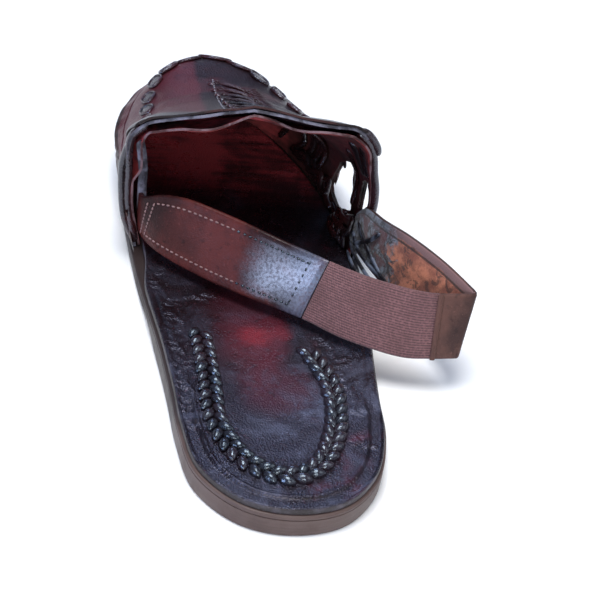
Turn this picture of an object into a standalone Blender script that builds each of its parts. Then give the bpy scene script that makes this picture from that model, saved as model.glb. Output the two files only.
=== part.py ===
"""A closed-toe leather sandal with a sling strap, for the right foot.

The shape starts at the heel back (along = 0) and runs to the toe along +Y, with the outer side of the
foot at +X and the ground at Z = 0. All sizes are in millimetres until a mesh is made. At the end every
piece moves together, so that the origin lies under the middle of the sandal.
"""
import math
from collections import namedtuple

import bmesh
import bpy
import numpy as np
from mathutils import Vector

MM = 0.001
GAP = 0.3                  # clearance between pieces that lie on each other

# Sole
LENGTH = 262.0
HEEL_TOP = 9.5             # top of the outsole above the ground, under the heel
FORE_TOP = 5.5             # the same under the ball of the foot
ARCH_RISE = 2.5            # how far the waist of the sole stands off the ground
TOE_SPRING = 6.0
HEEL_FLAT_END = 82.0
FORE_FLAT_START = 142.0
FORE_FLAT_END = 205.0
SOLE_EDGE = 0.8            # bevel round the sole's edges
INSOLE_THICK = 2.6
INSOLE_INSET_HEEL = 1.0
INSOLE_INSET_FORE = 5.0    # room for the wall of the upper

# Upper
WALL = 2.2
FOOT_INSET = 1.4           # the wall stands this far inside the sole's edge
THROAT_SIDE = 157.0        # where the side walls end
THROAT_RIDGE = 149.0       # the throat's highest point
THROAT_HEIGHT = 81.0
TOE_HEIGHT = 44.0
RIDGE_FRONT = 240.0        # where the ridge ends above the toes
RIDGE_SHARE = 0.43         # the ridge lies nearer the inner side
RIDGE_EASE = 1.9
PLAN_POWER_TOE = 3.2       # roundness of a section: higher is boxier
RISE_POWER_TOE = 2.8
PLAN_POWER_THROAT = 4.2
RISE_POWER_THROAT = 3.6
BULGE_INNER = 3.5
BULGE_OUTER = 8.0
BULGE_TOE = 1.5
SIDE_COLUMNS = 16          # wall columns along each side
TOE_COLUMNS = 18           # wall columns round the toe
RISE_LEVELS = (0, 0.07, 0.15, 0.24, 0.34, 0.45, 0.56, 0.66, 0.75, 0.83, 0.90, 0.95, 0.985, 1)

# Plaited rand round the toe
RAND_HEIGHT = 15.0
RAND_THICK = 2.4
RAND_LIFTS = (0.03, 0.2, 0.4, 0.6, 0.8, 1.0)
RAND_REACH = 11            # side column at which the rand starts on each side

# Strap
STRAP_LEATHER = 2.0
STRAP_ELASTIC = 1.6
FOLD_ROUND = 0.22          # share of a strap step that the fold's bend takes up
BUTT = 0.012               # half the gap between strap parts, in strap rows

# Braid laid in a U on the insole
BRAID_WIDE = 6.0
BRAID_HIGH = 3.0

Outline = namedtuple("Outline", "along inner outer")
OUTLINE = [
    Outline(5, -19, 19.5), Outline(21, -33.5, 33), Outline(43, -38.5, 38.5), Outline(64, -40.5, 39),
    Outline(86, -43, 40), Outline(107, -46, 41.5), Outline(129, -49, 43), Outline(150, -51.5, 43.5),
    Outline(172, -53.5, 42), Outline(193, -55, 38.5), Outline(215, -54.5, 32), Outline(236, -50, 21.5),
    Outline(252, -39, 8),
]
TOE_TIP_ACROSS = -15.0

# The strap's lower and upper edge, section by section, from the inner wall round to the outer wall.
StrapRow = namedtuple("StrapRow", "low_x low_y low_z high_x high_y high_z")
STRAP = [
    StrapRow(-49, 169, 13, -50, 168, 39), StrapRow(-48.3, 157, 13, -49.5, 156, 39),
    StrapRow(-44, 146, 14, -42, 149, 40), StrapRow(-36, 137, 14, -32, 142, 40),
    StrapRow(-22, 124, 15, -14, 132, 40), StrapRow(-7, 113, 16, 4, 120, 40),
    StrapRow(12, 102, 16, 20, 107, 41), StrapRow(25, 92, 16, 33, 99, 41),
    StrapRow(38, 85, 16, 44, 94, 41), StrapRow(50, 82, 15, 53, 91, 41),
    StrapRow(61, 82, 15, 61, 90, 41), StrapRow(72, 83, 15, 76, 91, 41),
    StrapRow(62, 105, 14, 66, 109, 40), StrapRow(53, 122, 13, 54.9, 124.8, 38),
    StrapRow(46, 139, 13, 46.8, 139.8, 34), StrapRow(40.6, 156, 13, 43.6, 156, 31),
    StrapRow(40.4, 164, 13, 42.9, 164, 31),
]
SEAM_INNER = 6             # strap row where leather gives way to elastic
SEAM_OUTER = 10            # strap row where elastic gives way to leather
FOLD_ROW = 11

BraidRow = namedtuple("BraidRow", "across along")
BRAID = [
    BraidRow(-28, 95), BraidRow(-26.5, 79), BraidRow(-26, 63), BraidRow(-25, 45), BraidRow(-19, 29),
    BraidRow(-10, 19.5), BraidRow(-1, 17), BraidRow(8.5, 21), BraidRow(15.5, 32), BraidRow(20, 50),
    BraidRow(19.5, 69), BraidRow(12, 90),
]

# Openings between the hanging thongs of the outer wall: columns counted from the throat, and rows.
Window = namedtuple("Window", "column first_row last_row")
WINDOWS = [
    Window(2, 3, 4), Window(3, 3, 4), Window(5, 1, 2), Window(6, 1, 3), Window(7, 2, 4), Window(8, 2, 4),
    Window(9, 3, 4),
]


def smooth(value, low, high):
    share = min(max((value - low) / (high - low), 0.0), 1.0)
    return share * share * (3 - 2 * share)


def spline(points, steps, closed):
    """Catmull-Rom points through a list of rows."""
    points = [np.array(row, float) for row in points]
    count = len(points)
    made = []
    for index in range(count if closed else count - 1):
        near = []
        for shift in (-1, 0, 1, 2):
            place = (index + shift) % count if closed else min(max(index + shift, 0), count - 1)
            near.append(points[place])
        a, b, c, d = near
        for step in range(steps):
            t = step / steps
            made.append(0.5 * (2 * b + (c - a) * t + (2 * a - 5 * b + 4 * c - d) * t * t
                               + (3 * b - a - 3 * c + d) * t ** 3))
    if not closed:
        made.append(points[-1])
    return np.array(made)


def sole_curves():
    """The inner and the outer side of the sole as (along, across) from heel to toe."""
    ring = [(0.0, 0.0)]
    ring += [(row.along, row.outer) for row in OUTLINE]
    ring += [(LENGTH, TOE_TIP_ACROSS)]
    ring += [(row.along, row.inner) for row in reversed(OUTLINE)]
    curve = spline(ring, 16, True)
    tip = int(curve[:, 0].argmax())
    heel = int(curve[:, 0].argmin())
    curve = np.roll(curve, -heel, axis=0)
    tip = (tip - heel) % len(curve)
    outer = curve[:tip + 1]
    inner = np.vstack([curve[tip:], curve[:1]])[::-1]
    return inner, outer


INNER_SIDE, OUTER_SIDE = sole_curves()


def sides(along):
    inner = float(np.interp(along, INNER_SIDE[:, 0], INNER_SIDE[:, 1]))
    outer = float(np.interp(along, OUTER_SIDE[:, 0], OUTER_SIDE[:, 1]))
    return inner, outer


def sole_bottom(along):
    arch = math.sin(math.pi * smooth(along, HEEL_FLAT_END, FORE_FLAT_START))
    toe = max((along - FORE_FLAT_END) / (LENGTH - FORE_FLAT_END), 0.0)
    return ARCH_RISE * arch * arch + TOE_SPRING * toe * toe


def sole_top(along):
    toe = max((along - FORE_FLAT_END) / (LENGTH - FORE_FLAT_END), 0.0)
    step = HEEL_TOP + (FORE_TOP - HEEL_TOP) * smooth(along, 85.0, 155.0)
    return step + TOE_SPRING * toe * toe


def sole_loop(inset, height, stations=34):
    """One closed loop of the sole's outline, moved in by inset(along) and set at height(along)."""
    low = INNER_SIDE[0, 0]
    high = INNER_SIDE[-1, 0]
    along = [low + (high - low) * (1 - math.cos(math.pi * k / stations)) / 2 for k in range(stations + 1)]
    ring = [(sides(y)[1], y) for y in along]
    ring += [(sides(y)[0], y) for y in reversed(along[1:-1])]
    ring = np.array(ring)
    tangent = np.roll(ring, -1, axis=0) - np.roll(ring, 1, axis=0)
    tangent /= np.linalg.norm(tangent, axis=1)[:, None]
    inward = np.c_[-tangent[:, 1], tangent[:, 0]]
    loop = []
    for (x, y), (nx, ny) in zip(ring, inward):
        step = inset(y)
        loop.append((x + nx * step, y + ny * step, height(y + ny * step)))
    return loop


def stacked_loops(loops):
    """A solid from loops that share their order, capped across the foot at both ends."""
    mesh = bmesh.new()
    rings = [[mesh.verts.new(np.array(point) * MM) for point in loop] for loop in loops]
    count = len(rings[0])
    for below, above in zip(rings, rings[1:]):
        for k in range(count):
            n = (k + 1) % count
            mesh.faces.new((below[k], below[n], above[n], above[k]))
    half = count // 2
    for ring in (rings[0], rings[-1]):
        mesh.faces.new((ring[0], ring[1], ring[count - 1]))
        for k in range(1, half - 1):
            mesh.faces.new((ring[k], ring[k + 1], ring[count - k - 1], ring[count - k]))
        mesh.faces.new((ring[half - 1], ring[half], ring[half + 1]))
    return mesh


def lofted_rings(rings):
    """A solid from closed sections in a row, with a flat cap at both ends."""
    mesh = bmesh.new()
    made = [[mesh.verts.new(np.array(point) * MM) for point in ring] for ring in rings]
    count = len(made[0])
    for first, second in zip(made, made[1:]):
        for k in range(count):
            n = (k + 1) % count
            mesh.faces.new((first[k], first[n], second[n], second[k]))
    mesh.faces.new(made[0])
    mesh.faces.new(made[-1])
    return mesh


Column = namedtuple("Column", "across along ridge_along round_toe back_share")


def foot_path():
    """Points where the wall meets the sole: inner side, toe, outer side, with the ridge point of each."""
    columns = []
    side_share = [k / SIDE_COLUMNS for k in range(SIDE_COLUMNS + 1)]
    fan_start = RIDGE_FRONT - 12.0
    ridge = [THROAT_RIDGE + (RIDGE_FRONT - THROAT_RIDGE) * share for share in side_share]
    feet = [THROAT_SIDE + (fan_start - THROAT_SIDE) * share for share in side_share]
    for y, qy in zip(feet, ridge):
        columns.append(Column(sides(y)[0], y, qy, 0.0, 1 - (y - THROAT_SIDE) / (fan_start - THROAT_SIDE)))
    inner = INNER_SIDE[INNER_SIDE[:, 0] > fan_start]
    outer = OUTER_SIDE[OUTER_SIDE[:, 0] > fan_start][::-1]
    front = np.vstack([[fan_start, sides(fan_start)[0]], inner, outer[1:], [fan_start, sides(fan_start)[1]]])
    length = np.r_[0, np.cumsum(np.linalg.norm(np.diff(front, axis=0), axis=1))]
    for k in range(1, TOE_COLUMNS):
        place = length[-1] * k / TOE_COLUMNS
        y = float(np.interp(place, length, front[:, 0]))
        x = float(np.interp(place, length, front[:, 1]))
        columns.append(Column(x, y, RIDGE_FRONT, k / TOE_COLUMNS, 0.0))
    for y, qy in zip(reversed(feet), reversed(ridge)):
        columns.append(Column(sides(y)[1], y, qy, 1.0, 1 - (y - THROAT_SIDE) / (fan_start - THROAT_SIDE)))
    return columns


FOOT_PATH = foot_path()


def ridge_point(qy):
    inner, outer = sides(qy)
    share = (RIDGE_FRONT - qy) / (RIDGE_FRONT - THROAT_RIDGE)
    height = TOE_HEIGHT + (THROAT_HEIGHT - TOE_HEIGHT) * share ** RIDGE_EASE
    return inner + (outer - inner) * RIDGE_SHARE, height


def wall_point(column, rise, out=0.0):
    """A point of the upper's outer face: rise runs from the sole (0) up to the ridge (1)."""
    x, y, qy, round_toe, back_share = FOOT_PATH[column]
    qx, height = ridge_point(qy)
    reach = np.array((qx - x, qy - y))
    inward = reach / np.linalg.norm(reach)
    foot = np.array((x, y)) + inward * FOOT_INSET
    span = np.array((qx, qy)) - foot
    side = smooth(round_toe, 0.2, 0.8)
    plan_power = PLAN_POWER_TOE + (PLAN_POWER_THROAT - PLAN_POWER_TOE) * back_share
    rise_power = RISE_POWER_TOE + (RISE_POWER_THROAT - RISE_POWER_TOE) * back_share
    toe_share = math.sin(math.pi * round_toe)
    bulge = (BULGE_INNER + (BULGE_OUTER - BULGE_INNER) * side) * (1 - toe_share) + BULGE_TOE * toe_share
    base = sole_top(y) + GAP
    inset = 1 - (1 - rise ** rise_power) ** (1 / plan_power)
    swell = bulge * math.sin(math.pi * min(rise / 0.85, 1.0)) + out
    eased = np.array((inset, inset + back_share * inset * (1 - inset)))
    place = foot + span * eased - inward * swell
    return np.array((place[0], place[1], base + (height - base) * rise))


def upper_mesh():
    mesh = bmesh.new()
    columns = len(FOOT_PATH)
    ridge_verts = {}
    grid = []
    for column in range(columns):
        line = [mesh.verts.new(wall_point(column, rise) * MM) for rise in RISE_LEVELS[:-1]]
        qy = round(FOOT_PATH[column].ridge_along, 4)
        if qy not in ridge_verts:
            ridge_verts[qy] = mesh.verts.new(wall_point(column, 1.0) * MM)
        line.append(ridge_verts[qy])
        grid.append(line)
    open_faces = set()
    for window in WINDOWS:
        for row in range(window.first_row, window.last_row + 1):
            open_faces.add((columns - 1 - window.column, row))
    for column in range(columns - 1):
        for row in range(len(RISE_LEVELS) - 1):
            if (column, row) in open_faces:
                continue
            ring = [grid[column][row], grid[column + 1][row], grid[column + 1][row + 1],
                    grid[column][row + 1]]
            face = []
            for vert in ring:
                if vert not in face:
                    face.append(vert)
            mesh.faces.new(face)
    return mesh


def rand_mesh():
    """The plaited band round the toe, a closed section that follows the wall from its own function."""
    rings = []
    first = RAND_REACH
    last = len(FOOT_PATH) - 1 - RAND_REACH
    for column in range(first, last + 1):
        height = ridge_point(FOOT_PATH[column].ridge_along)[1] - sole_top(FOOT_PATH[column].along)
        levels = [lift * RAND_HEIGHT / height for lift in RAND_LIFTS]
        taper = 0.45 + 0.55 * smooth(min(column - first, last - column), 0, 4)
        outer = []
        for lift, rise in zip(RAND_LIFTS, levels):
            full = math.sin(math.pi * min(max(lift, 0.12), 0.88)) ** 0.4
            outer.append(wall_point(column, rise, 0.5 + RAND_THICK * taper * full))
        near = [wall_point(column, rise, 0.5) for rise in reversed(levels)]
        rings.append(outer + near)
    return lofted_rings(rings)


def strap_point(place, share):
    """A point on the middle face of the strap: place counts rows, share runs from lower to upper edge."""
    rows = [np.array(row, float) for row in STRAP]
    index = min(int(place), len(rows) - 2)
    t = place - index
    low = max(index - 1, 0)
    high = min(index + 2, len(rows) - 1)
    if index == FOLD_ROW:
        low = index
    if index + 1 == FOLD_ROW:
        high = index + 1
    a, b, c, d = rows[low], rows[index], rows[index + 1], rows[high]
    row = 0.5 * (2 * b + (c - a) * t + (2 * a - 5 * b + 4 * c - d) * t * t + (3 * b - a - 3 * c + d) * t ** 3)
    return row[:3] + (row[3:] - row[:3]) * share


def fold_point(place, share):
    """The strap with the fold drawn round: a bend takes the place of the corner."""
    if abs(place - FOLD_ROW) >= FOLD_ROUND:
        return strap_point(place, share)
    t = (place - FOLD_ROW + FOLD_ROUND) / (2 * FOLD_ROUND)
    start = strap_point(FOLD_ROW - FOLD_ROUND, share)
    corner = strap_point(FOLD_ROW, share)
    end = strap_point(FOLD_ROW + FOLD_ROUND, share)
    return start * (1 - t) ** 2 + corner * 2 * t * (1 - t) + end * t * t


def strap_mesh(first, last, steps):
    """An open ribbon between two places of the strap, four faces wide."""
    places = [first + (last - first) * k / steps for k in range(steps + 1)]
    if first < FOLD_ROW < last:
        bend = [FOLD_ROW - FOLD_ROUND + 2 * FOLD_ROUND * k / 6 for k in range(7)]
        places = sorted([p for p in places if abs(p - FOLD_ROW) > FOLD_ROUND + 0.05] + bend)
    mesh = bmesh.new()
    lines = []
    for place in places:
        lines.append([mesh.verts.new(fold_point(place, k / 4) * MM) for k in range(5)])
    for one, two in zip(lines, lines[1:]):
        for k in range(4):
            mesh.faces.new((one[k], two[k], two[k + 1], one[k + 1]))
    return mesh


def braid_mesh():
    """A half-round cord laid in a U on the insole."""
    path = spline(BRAID, 4, False)
    tangent = np.gradient(path, axis=0)
    tangent /= np.linalg.norm(tangent, axis=1)[:, None]
    rings = []
    for (x, y), (tx, ty) in zip(path, tangent):
        base = sole_top(y) + GAP + INSOLE_THICK + GAP
        ring = []
        for k in range(8):
            angle = math.pi * k / 7
            across = math.cos(angle) * BRAID_WIDE / 2
            ring.append((x - ty * across, y + tx * across, base + math.sin(angle) * BRAID_HIGH))
        rings.append(ring)
    return lofted_rings(rings)


def insole_inset(along):
    return INSOLE_INSET_HEEL + (INSOLE_INSET_FORE - INSOLE_INSET_HEEL) * smooth(along, 122.0, 152.0)


def outsole_mesh():
    return stacked_loops([
        sole_loop(lambda y: SOLE_EDGE, sole_bottom),
        sole_loop(lambda y: 0.0, lambda y: sole_bottom(y) + SOLE_EDGE),
        sole_loop(lambda y: 0.0, lambda y: sole_top(y) - SOLE_EDGE),
        sole_loop(lambda y: SOLE_EDGE, sole_top),
    ])


def insole_mesh():
    return stacked_loops([
        sole_loop(lambda y: insole_inset(y), lambda y: sole_top(y) + GAP),
        sole_loop(lambda y: insole_inset(y), lambda y: sole_top(y) + GAP + INSOLE_THICK - 0.7),
        sole_loop(lambda y: insole_inset(y) + 0.7, lambda y: sole_top(y) + GAP + INSOLE_THICK),
    ])


def leather_material(name, colour, roughness):
    material = bpy.data.materials.new(name)
    material.use_nodes = True
    shader = material.node_tree.nodes["Principled BSDF"]
    shader.inputs["Base Color"].default_value = (*colour, 1.0)
    shader.inputs["Roughness"].default_value = roughness
    shader.inputs["Metallic"].default_value = 0.0
    return material


def add_piece(name, mesh, material, collection, thickness=0.0, offset=0.0):
    bmesh.ops.recalc_face_normals(mesh, faces=mesh.faces)
    data = bpy.data.meshes.new(name)
    mesh.to_mesh(data)
    mesh.free()
    piece = bpy.data.objects.new(name, data)
    collection.objects.link(piece)
    data.materials.append(material)
    data.shade_smooth()
    data.set_sharp_from_angle(angle=math.radians(40))
    if thickness:
        solidify = piece.modifiers.new("Wall", "SOLIDIFY")
        solidify.thickness = thickness * MM
        solidify.offset = offset
    return piece


def face_outward(piece, middle):
    """Turn an open sheet so that its faces look away from a point inside it."""
    mesh = bmesh.new()
    mesh.from_mesh(piece.data)
    lean = sum((face.calc_center_median() - middle).dot(face.normal) * face.calc_area() for face in mesh.faces)
    if lean < 0:
        bmesh.ops.reverse_faces(mesh, faces=mesh.faces)
    mesh.to_mesh(piece.data)
    mesh.free()


for old in list(bpy.data.objects):
    bpy.data.objects.remove(old, do_unlink=True)

sandal = bpy.data.collections.new("leather_sandal")
bpy.context.scene.collection.children.link(sandal)

sole_leather = leather_material("sole_leather", (0.080, 0.042, 0.032), 0.60)
insole_leather = leather_material("insole_leather", (0.040, 0.010, 0.009), 0.34)
upper_leather = leather_material("upper_leather", (0.050, 0.010, 0.009), 0.34)
thong_leather = leather_material("thong_leather", (0.070, 0.016, 0.012), 0.38)
elastic_web = leather_material("elastic_web", (0.130, 0.050, 0.036), 0.80)

pieces = [
    add_piece("outsole", outsole_mesh(), sole_leather, sandal),
    add_piece("insole", insole_mesh(), insole_leather, sandal),
    add_piece("insole_braid", braid_mesh(), thong_leather, sandal),
    add_piece("plaited_rand", rand_mesh(), thong_leather, sandal),
]
upper = add_piece("upper", upper_mesh(), upper_leather, sandal, WALL, -1.0)
pieces.append(upper)
pieces.append(add_piece("strap_inner", strap_mesh(0, SEAM_INNER - BUTT, 20), upper_leather, sandal,
                        STRAP_LEATHER, 0.0))
pieces.append(add_piece("strap_elastic", strap_mesh(SEAM_INNER + BUTT, SEAM_OUTER - BUTT, 14), elastic_web,
                        sandal, STRAP_ELASTIC, 0.0))
pieces.append(add_piece("strap_outer", strap_mesh(SEAM_OUTER + BUTT, len(STRAP) - 1, 20), upper_leather,
                        sandal, STRAP_LEATHER, 0.0))

face_outward(upper, Vector((0.0, 0.190, 0.020)))

view = bpy.context.evaluated_depsgraph_get()
corners = []
for piece in pieces:
    corners += [np.array(vert.co) for vert in piece.evaluated_get(view).data.vertices]
low = np.min(corners, axis=0)
high = np.max(corners, axis=0)
for piece in pieces:
    piece.location = (-(low[0] + high[0]) / 2, -(low[1] + high[1]) / 2, -low[2])
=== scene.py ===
# %% [markdown]
# # A leather sling-back sandal, piece by piece
# The imported CAD model is the frame of this lesson: it has the right sizes and places, but plain surfaces.
# Each leather piece of the real sandal is modelled over it here, in the same metres and the same axes, and
# takes the place of the CAD node that it stands for.

# %% Load the frame
import math
import random
from collections import namedtuple

import bpy
import numpy as np
from mathutils import Matrix, Vector
from mathutils.bvhtree import BVHTree


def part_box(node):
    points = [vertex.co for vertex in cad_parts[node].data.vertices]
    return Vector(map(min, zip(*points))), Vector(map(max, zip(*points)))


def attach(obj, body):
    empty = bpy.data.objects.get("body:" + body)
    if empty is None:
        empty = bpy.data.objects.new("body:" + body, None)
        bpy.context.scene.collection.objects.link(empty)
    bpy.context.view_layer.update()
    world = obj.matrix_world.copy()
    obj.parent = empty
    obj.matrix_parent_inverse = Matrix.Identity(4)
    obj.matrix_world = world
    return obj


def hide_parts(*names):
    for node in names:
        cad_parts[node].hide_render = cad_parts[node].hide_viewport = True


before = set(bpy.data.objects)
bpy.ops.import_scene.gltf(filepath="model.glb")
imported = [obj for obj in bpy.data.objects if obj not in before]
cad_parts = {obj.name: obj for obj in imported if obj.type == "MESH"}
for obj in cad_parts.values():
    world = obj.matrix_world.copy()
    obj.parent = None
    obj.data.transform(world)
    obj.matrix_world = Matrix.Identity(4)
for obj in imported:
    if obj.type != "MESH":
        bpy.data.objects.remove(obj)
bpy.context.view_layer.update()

MM = 0.001
chance = random.Random(7)
print("CAD nodes:", ", ".join(sorted(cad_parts)))

# %% [markdown]
# ## The sandal's own sizes
# A shoemaker draws the sole first and measures everything else from it. Sizes are in millimetres from the
# back of the heel: x across (the outer side of the foot is +), y along to the toe, z up. The outline is a
# short table of widths with a smooth curve through it, the same one that the CAD model uses, so that every
# new piece fits its node.

# %% Outline and levels of the sole
Outline = namedtuple("Outline", "along inner outer")
OUTLINE = [
    Outline(5, -19, 19.5), Outline(21, -33.5, 33), Outline(43, -38.5, 38.5), Outline(64, -40.5, 39),
    Outline(86, -43, 40), Outline(107, -46, 41.5), Outline(129, -49, 43), Outline(150, -51.5, 43.5),
    Outline(172, -53.5, 42), Outline(193, -55, 38.5), Outline(215, -54.5, 32), Outline(236, -50, 21.5),
    Outline(252, -39, 8),
]
LENGTH = 262.0
TOE_TIP_ACROSS = -15.0
HEEL_TOP, FORE_TOP = 9.5, 5.5          # top of the outsole under the heel and under the ball of the foot
TOP_FALLS = (85.0, 155.0)              # where along the foot the top comes down from one to the other
ARCH_RISE = 2.5                        # how far the waist of the sole stands off the ground
HEEL_FLAT_END, FORE_FLAT_START, FORE_FLAT_END = 82.0, 142.0, 205.0
TOE_SPRING = 6.0
GAP = 0.3                              # clearance between pieces that lie on each other


def smooth(value, low, high):
    share = np.clip((np.asarray(value, float) - low) / (high - low), 0.0, 1.0)
    return share * share * (3 - 2 * share)


def curve_through(rows, steps, closed=False):
    """Catmull-Rom points through a list of rows."""
    rows = np.array(rows, float)
    count = len(rows)
    made = []
    for index in range(count if closed else count - 1):
        near = [index + shift for shift in (-1, 0, 1, 2)]
        near = [k % count if closed else min(max(k, 0), count - 1) for k in near]
        a, b, c, d = rows[near]
        for t in np.arange(steps) / steps:
            made.append(0.5 * (2 * b + (c - a) * t + (2 * a - 5 * b + 4 * c - d) * t * t
                               + (3 * b - a - 3 * c + d) * t ** 3))
    return np.array(made if closed else made + [rows[-1]])


ring = [(0.0, 0.0)] + [(row.along, row.outer) for row in OUTLINE]
ring += [(LENGTH, TOE_TIP_ACROSS)] + [(row.along, row.inner) for row in reversed(OUTLINE)]
ring = curve_through(ring, 16, True)
ring = np.roll(ring, -int(ring[:, 0].argmin()), axis=0)
tip = int(ring[:, 0].argmax())
OUTER_SIDE = ring[:tip + 1]
INNER_SIDE = np.vstack([ring[tip:], ring[:1]])[::-1]


def sides(along):
    return (np.interp(along, INNER_SIDE[:, 0], INNER_SIDE[:, 1]),
            np.interp(along, OUTER_SIDE[:, 0], OUTER_SIDE[:, 1]))


def toe_spring(along):
    past = (np.asarray(along, float) - FORE_FLAT_END) / (LENGTH - FORE_FLAT_END)
    return TOE_SPRING * np.maximum(past, 0.0) ** 2


def sole_bottom(along):
    return ARCH_RISE * np.sin(np.pi * smooth(along, HEEL_FLAT_END,
                                             FORE_FLAT_START)) ** 2 + toe_spring(along)


def sole_top(along):
    return HEEL_TOP - (HEEL_TOP - FORE_TOP) * smooth(along, *TOP_FALLS) + toe_spring(along)


low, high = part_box("outsole")
SHIFT = np.array(((low.x + high.x) / 2 / MM - (INNER_SIDE[:, 1].min() + OUTER_SIDE[:, 1].max()) / 2,
                  low.y / MM - INNER_SIDE[:, 0].min(), 0.0))
print("shoe frame to model frame, mm:", SHIFT.round(2))

# %% [markdown]
# ## The upper's skin as a table
# The upper is one hollow wall that stands on the sole and closes over the foot. It is easiest to think of
# it as a fan of lines: columns count round the foot from the inner throat corner (0) round the toe to the
# outer throat corner (50), and each line climbs from the sole to the ridge. The table keeps points at even
# steps of each line's own length (its girth), with their normals, so that straps, loops and stitches can
# be laid on the skin.

# %% The skin table
RIDGE_BACK, RIDGE_FRONT = 149.0, 240.0
SIDE_BACK, SIDE_FRONT = 157.0, 228.0
SIDE_COLUMNS, TOE_COLUMNS = 16, 18
OUTER_CORNER = 2 * SIDE_COLUMNS + TOE_COLUMNS      # column of the outer throat corner; the inner one is 0
THROAT_HEIGHT, TOE_HEIGHT = 81.0, 44.0
RIDGE_SHARE, RIDGE_EASE = 0.43, 1.9                # the ridge lies nearer the inner side
FOOT_INSET = 1.4                                   # the wall stands this far inside the sole's edge
PLAN_POWER_TOE, PLAN_POWER_MORE = 3.2, 1.0         # roundness of a section at the toe, and how much boxier
RISE_POWER_TOE, RISE_POWER_MORE = 2.8, 0.8         # it gets towards the throat
BULGE_INNER, BULGE_OUTER, BULGE_TOE = 3.5, 8.0, 1.5
inner_front = INNER_SIDE[INNER_SIDE[:, 0] > SIDE_FRONT]
outer_front = OUTER_SIDE[OUTER_SIDE[:, 0] > SIDE_FRONT][::-1]
FRONT = np.vstack([[SIDE_FRONT, sides(SIDE_FRONT)[0]], inner_front, outer_front[1:],
                   [SIDE_FRONT, sides(SIDE_FRONT)[1]]])
FRONT_PLACE = np.r_[0, np.cumsum(np.linalg.norm(np.diff(FRONT, axis=0), axis=1))]


def foot_at(column):
    """Foot of the wall: across, along, ridge along, share round the toe, share towards the back."""
    side = min(column, OUTER_CORNER - column)
    if side <= SIDE_COLUMNS:
        share = side / SIDE_COLUMNS
        y = SIDE_BACK + (SIDE_FRONT - SIDE_BACK) * share
        ridge = RIDGE_BACK + (RIDGE_FRONT - RIDGE_BACK) * share
        outer = column > OUTER_CORNER / 2
        return float(sides(y)[int(outer)]), y, ridge, float(outer), 1 - share
    place = FRONT_PLACE[-1] * (column - SIDE_COLUMNS) / TOE_COLUMNS
    y, x = [float(np.interp(place, FRONT_PLACE, FRONT[:, k])) for k in (0, 1)]
    return x, y, RIDGE_FRONT, (column - SIDE_COLUMNS) / TOE_COLUMNS, 0.0


def girth_line(column, girths):
    """Points at even shares of one line's length, and that length."""
    x, y, qy, round_toe, back = foot_at(column)
    inner, outer = sides(qy)
    ridge = np.array((inner + (outer - inner) * RIDGE_SHARE, qy))
    backwards = max((RIDGE_FRONT - qy) / (RIDGE_FRONT - RIDGE_BACK), 0.0)
    height = TOE_HEIGHT + (THROAT_HEIGHT - TOE_HEIGHT) * backwards ** RIDGE_EASE
    inward = (ridge - (x, y)) / np.linalg.norm(ridge - (x, y))
    foot = np.array((x, y)) + inward * FOOT_INSET
    plan, lift = PLAN_POWER_TOE + PLAN_POWER_MORE * back, RISE_POWER_TOE + RISE_POWER_MORE * back
    toe = math.sin(math.pi * round_toe)
    bulge = BULGE_INNER + (BULGE_OUTER - BULGE_INNER) * float(smooth(round_toe, 0.2, 0.8))
    bulge = bulge * (1 - toe) + BULGE_TOE * toe
    base = float(sole_top(y)) + GAP
    rise = np.sort(np.r_[np.linspace(0, 1, 160), (1 - np.linspace(1, 0, 160) ** plan) ** (1 / lift)])
    inset = 1 - np.clip(1 - rise ** lift, 0, 1) ** (1 / plan)
    swell = bulge * np.sin(np.pi * np.minimum(rise / 0.85, 1.0))
    eased = np.c_[inset, inset + back * inset * (1 - inset)]
    points = np.c_[foot + (ridge - foot) * eased - inward * swell[:, None], base + (height - base) * rise]
    place = np.r_[0, np.cumsum(np.linalg.norm(np.diff(points, axis=0), axis=1))]
    return np.c_[[np.interp(girths * place[-1], place, points[:, k]) for k in range(3)]].T, place[-1]


FINE = 8
COLUMNS = np.linspace(-1, OUTER_CORNER + 1, (OUTER_CORNER + 2) * FINE + 1)
GIRTH_STEPS = 160
GIRTHS = np.linspace(0, 1, GIRTH_STEPS + 1)
lines = [girth_line(column, GIRTHS) for column in COLUMNS]
SKIN = np.array([points for points, _ in lines])
GIRTH_LENGTH = np.array([length for _, length in lines])
print("girth of the throat, mm:", round(GIRTH_LENGTH[FINE] + GIRTH_LENGTH[-FINE - 1], 1))

# %% [markdown]
# ## Dents and creases
# Worn leather keeps the marks of the foot: the throat dips beside its highest point, and the vamp has
# shallow flex creases across the toes. They could be left to a bump, but then the outline would stay too
# perfect, so each one is a row of the table below in the sandal's own sizes, and moves the skin itself.
# The stiff doubled edge also squares the throat's two shoulders, which is a second table along the
# throat's girth.

# %% Press the creases into the skin
Crease = namedtuple("Crease", "across along half_long half_wide turn depth")
CREASES = [
    Crease(17, 153, 15, 9, 0, 2.6), Crease(-33, 156, 12, 8, 10, 1.3), Crease(20, 196, 20, 4.5, -18, 0.9),
    Crease(-38, 199, 15, 4, 22, 0.8), Crease(14, 209, 22, 3.6, -14, 0.7),
    Crease(-36, 211, 16, 3.6, 18, 0.7), Crease(-12, 236, 22, 4, 3, 0.8), Crease(26, 178, 12, 5, -60, 0.8),
    Crease(-44, 182, 11, 4, 70, 0.6),
]
for crease in CREASES:
    turn = math.radians(crease.turn)
    across, along = SKIN[..., 0] - crease.across, SKIN[..., 1] - crease.along
    far = ((across * math.cos(turn) + along * math.sin(turn)) / crease.half_long) ** 2
    far += ((along * math.cos(turn) - across * math.sin(turn)) / crease.half_wide) ** 2
    SKIN[..., 2] -= crease.depth * np.exp(-far) * smooth(SKIN[..., 2], 30.0, 46.0)

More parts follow.
